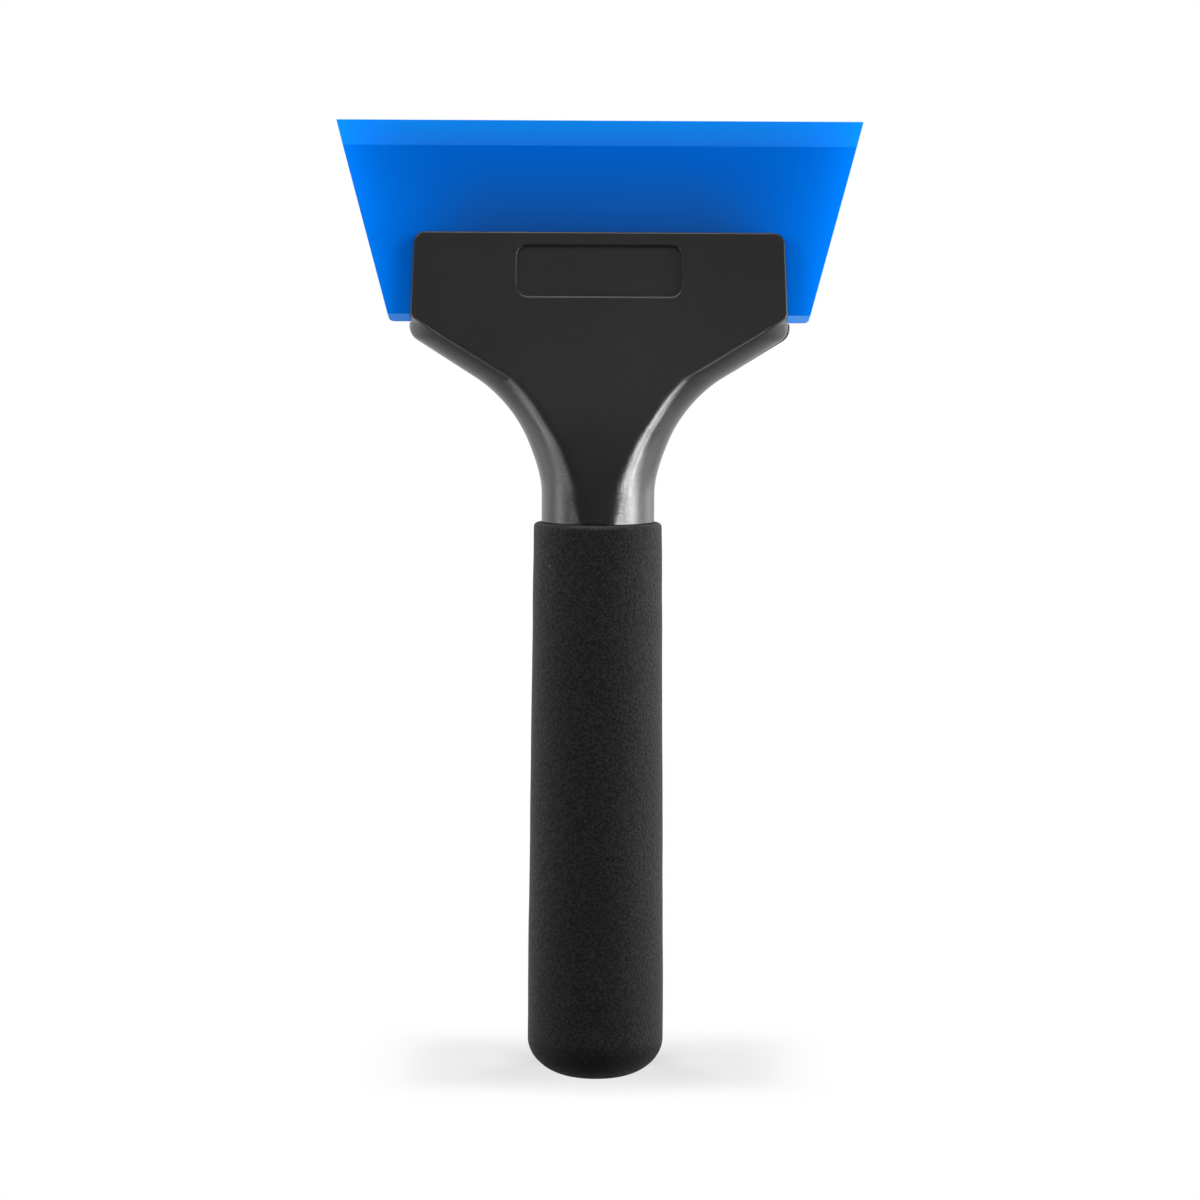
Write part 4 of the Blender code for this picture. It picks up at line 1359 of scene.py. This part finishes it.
def jaw_ribs(name, side, body, node):
    """The ribs of one jaw: side is -1 for the front jaw."""
    low, high = (half_width(height) - RIB_END_GAP for height in (first_rib, first_rib + RIB_PITCH))
    values = {
        "Count": rib_count,
        "First height": first_rib,
        "Pitch": RIB_PITCH,
        "First half length": low,
        "Change per rib": high - low,
        "Width": RIB_WIDTH,
        "Height": RIB_HEIGHT,
        "Wall": side * SLOT_WALL_Y,
    }
    ribs = shaded(grown(name, rib_desk, rib_keys, values))
    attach(ribs, body)
    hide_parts(node)
    tell(ribs)


jaw_ribs("front_jaw_ribs", -1, "handle", "handle_body")
jaw_ribs("rear_jaw_ribs", 1, "clamp", "rear_jaw")

# %% [markdown]
# ## Screws
# Two M4 pan-head screws pull the rear jaw against the blade. The head is turned and has a
# cross recess, and the shank has a rolled thread. A thread repeats along a rule, so
# Geometry Nodes press it into a plain cylinder: each point's distance from the axis
# depends on its height plus its bearing, which is what makes a helix.

# %% Thread tree
THREAD_PITCH = 0.7 * MM
THREAD_SIDES = 28
FLANKS = (0.12, 0.88)
TIP_RUN_OUT = (0.1 * MM, 1.0 * MM)
HEAD_RUN_OUT = (0.2 * MM, 1.2 * MM)
POINT_RUN = (-0.2 * MM, 0.8 * MM)
POINT_BY = 0.28

thread_inputs = {"Rows": "Int", "Place": "Vector"}
thread_inputs |= dict.fromkeys(("Length", "Pitch", "Root radius", "Crest radius"), "Float")
thread_desk, wires, thread_keys = geometry_tree("rolled_thread", thread_inputs)
length, root = wires["Length"], wires["Root radius"]
plain = {"Vertices": THREAD_SIDES, "Side Segments": wires["Rows"], "Radius": 1.0, "Depth": length}
blank = thread_desk.first("GeometryNodeMeshCylinder", plain, fill_type="TRIANGLE_FAN")
x, y, z, bearing = points_of(thread_desk)
turn = (z / wires["Pitch"] + bearing).fraction()
crest = (1 - abs(turn * 2 - 1)).ramp(*FLANKS)
from_tip = z + length * 0.5
fade = from_tip.ramp(*TIP_RUN_OUT) * (length * 0.5 - z).ramp(*HEAD_RUN_OUT)
point_in = 1 - (1 - from_tip.ramp(*POINT_RUN)) * POINT_BY
radius = (root + (wires["Crest radius"] - root) * crest * fade) * point_in
laid = {
    "Geometry": moved(thread_desk, blank, x * radius, y * radius, z),
    "Translation": wires["Place"],
    "Rotation": (-math.pi / 2, 0.0, 0.0),
}
close_tree(thread_desk, thread_desk.first("GeometryNodeTransform", laid), STEEL)
print("thread tree nodes:", len(thread_desk.tree.nodes))

# %% Screws, washers and their places
SCREW_HEAD_Y = 6.6 * MM
HEAD_RADIUS = 4.0 * MM
HEAD_HEIGHT = 2.6 * MM
HEAD_ROUND = 1.6 * MM
HEAD_EASE = 0.1 * MM
HEAD_STEPS = 10
ROOT_RADIUS = 1.6 * MM
CREST_RADIUS = 2.0 * MM
SHANK_INTO_HEAD = 0.2 * MM
ROWS_PER_TURN = 8
RECESS = ((1.0, 1.2, 0.35), (2.7, 2.2, 0.55), (3.4, 2.4, 0.6))  # height, arm, half slot in mm
WASHER_Y = 5.5 * MM
WASHER = ((2.3, 0.0), (4.5, 0.0), (4.5, 0.8), (2.3, 0.8))  # radii and heights in mm
INWARD = ((1, 1), (-1, 1), (-1, -1), (1, -1))
WASHER_EASE = 0.12
TURNED_STEPS = 64
SIDES = (("left", -SCREW_X), ("right", SCREW_X))


def in_metres(points):
    return [tuple(value * MM for value in point) for point in points]


def screw_head_profile():
    """Half of a pan head: a flat bearing face, an upright side and a domed top."""
    points = [(ROOT_RADIUS, 0.0), (HEAD_RADIUS - HEAD_EASE, 0.0), (HEAD_RADIUS, HEAD_EASE)]
    for turn in quarter_turns(HEAD_STEPS):
        radius = HEAD_RADIUS - HEAD_ROUND * (1 - math.cos(turn))
        points.append((radius, HEAD_HEIGHT - HEAD_ROUND * (1 - math.sin(turn))))
    return points


def cross_tool(x):
    """A tapered cross that cuts the driver's recess."""
    rings = []
    for height, arm, slot in RECESS:
        corner = [(arm, -slot), (arm, slot), (slot, slot)]
        ring = []
        for cosine, sine in ((1, 0), (0, 1), (-1, 0), (0, -1)):
            ring += [(a * cosine - b * sine, a * sine + b * cosine, height) for a, b in corner]
        rings.append(in_metres(ring))
    return place_along_y(as_object("cross", loft(rings)), x, SCREW_HEAD_Y, SCREW_Z)


def make_screw(side, x):
    body = "screw_" + side
    node = "clamp_screw_" + side
    head = as_object(f"screw_head_{side}", lathe(screw_head_profile(), TURNED_STEPS), STEEL)
    place_along_y(head, x, SCREW_HEAD_Y, SCREW_Z)
    shaded(cut(head, [cross_tool(x)]))
    top_y = SCREW_HEAD_Y + SHANK_INTO_HEAD
    values = {
        "Rows": round((top_y - SCREW_TIP_Y) / THREAD_PITCH * ROWS_PER_TURN),
        "Length": top_y - SCREW_TIP_Y,
        "Pitch": THREAD_PITCH,
        "Root radius": ROOT_RADIUS,
        "Crest radius": CREST_RADIUS,
        "Place": (x, (top_y + SCREW_TIP_Y) / 2, SCREW_Z),
    }
    shank = shaded(grown(f"screw_thread_{side}", thread_desk, thread_keys, values))
    for piece in (head, shank):
        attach(piece, body)
        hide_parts(node)
        tell(piece)


def make_washer(side, x):
    profile = []
    for (a, b), (da, db) in zip(WASHER, INWARD):
        pair = [(a, b + db * WASHER_EASE), (a + da * WASHER_EASE, b)]
        profile += pair if da * db > 0 else pair[::-1]
    washer = as_object(f"washer_{side}", lathe(in_metres(profile), TURNED_STEPS, True), STEEL)
    place_along_y(washer, x, WASHER_Y, SCREW_Z)
    shaded(washer)
    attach(washer, "clamp")
    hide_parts("screw_washer_" + side)
    tell(washer)


for side, x in SIDES:
    make_screw(side, x)
    make_washer(side, x)

# %% [markdown]
# ## Brass nuts and the plug
# The screws bite in brass nuts with a knurled outside, so that the plastic grips them. The
# knurl is a ring of teeth, pressed by Geometry Nodes into a plain turned sleeve. Below,
# under the foam, a cup-shaped plug closes the hollow core.

# %% Knurled nuts
NUT_BORE = 2.3
NUT_STEPS = 120
NUT_Y = -6.5 * MM
KNURL = {"Teeth": 30, "Tooth depth": 0.18 * MM, "Inner radius": NUT_BORE * MM}
KNURL_FROM, KNURL_FULL = 0.6 * MM, 0.8 * MM  # out from the bore

knurl_inputs = {"Teeth": "Int", "Tooth depth": "Float", "Inner radius": "Float"}
desk, wires, knurl_keys = geometry_tree("knurl", knurl_inputs)
x, y, z, bearing = points_of(desk)
tooth = abs((bearing * wires["Teeth"]).fraction() * 2 - 1)
reach = desk.maths("SQRT", x * x + y * y)
outside = reach.ramp(wires["Inner radius"] + KNURL_FROM, wires["Inner radius"] + KNURL_FULL)
press = 1 - wires["Tooth depth"] * tooth * outside / reach
close_tree(desk, moved(desk, wires["Geometry"], x * press, y * press, z), BRASS)

profile = [(NUT_BORE, 0.1), (2.4, 0.0), (3.1, 0.0), (3.2, 0.1)]
profile += [(radius, 6.0 - height) for radius, height in profile[::-1]]
for side, place_x in SIDES:
    shape = lathe(in_metres(profile), NUT_STEPS, True)
    sleeve = as_object(f"brass_nut_{side}", shape, BRASS)
    grown(sleeve.name, desk, knurl_keys, KNURL, base=sleeve)
    place_along_y(sleeve, place_x, NUT_Y, SCREW_Z)
    shaded(sleeve)
    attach(sleeve, "handle")
    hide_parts("thread_insert_" + side)
    tell(sleeve)

# %% Plug
PLUG_Z = FOAM_END_WALL + FIT
PLUG_MIDDLE = 0.4 * MM
STEM_RADIUS = 9.2 * MM
CUP_RADIUS = STEM_RADIUS - 1.5 * MM
FLANGE_TOP = PLUG_Z + 2.0 * MM
STEM_TOP = FLANGE_TOP + 8.0 * MM
PLUG_STEPS = 72

corners = [
    (PLUG_MIDDLE, PLUG_Z), (CORE_RADIUS, PLUG_Z), (CORE_RADIUS, FLANGE_TOP),
    (STEM_RADIUS, FLANGE_TOP), (STEM_RADIUS, STEM_TOP), (CUP_RADIUS, STEM_TOP),
    (CUP_RADIUS, FLANGE_TOP), (PLUG_MIDDLE, FLANGE_TOP),
]
roundings = [0, 0.4 * MM, 0.3 * MM, 0, 0.4 * MM, 0.3 * MM, 0.3 * MM, 0]
plug = lathe(rounded(corners, roundings), PLUG_STEPS)
plug = shaded(as_object("core_plug", plug, PLUG_PLASTIC))
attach(plug, "handle")
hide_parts("core_end_plug")
tell(plug)

# %% [markdown]
# ## Which lamp lights what
# In a studio, black cards keep a lamp's light off what it isn't meant for. Light linking is
# Blender's way to do that: a lamp lights everything but the objects that are excluded in
# the collection it is given. No lamp but the floor's own lights the floor, so only one soft
# shadow falls on it, and that lamp in turn stays off the jaws, where it would draw a white
# line along every edge that faces up. The saturated blade wants broad light from the front,
# and the black pieces want light from above and from thin strips, so they have their own.

# %% Light linking
def shade_from(name, lamps, kept_dark):
    """Keep the light of some lamps off some objects."""
    collection = bpy.data.collections.new(name)
    for thing in kept_dark:
        collection.objects.link(thing)
    for member in collection.collection_objects:
        member.light_linking.link_state = "EXCLUDE"
    for lamp in lamps:
        lamp.light_linking.receiver_collection = collection


shade_from("all_but_floor", side_lamps, [floor])
shade_from("all_but_black_pieces", blade_lamps, [floor, handle, rear_jaw, foam])
shade_from("all_but_floor_and_blade", [top_box], [floor, blade])
shade_from("all_but_soft_pieces", neck_lamps, [floor, blade, foam])
shade_from("all_but_jaws", [floor_lamp], [handle, rear_jaw])
print("linked lamps:", len(side_lamps + blade_lamps + neck_lamps) + 2)
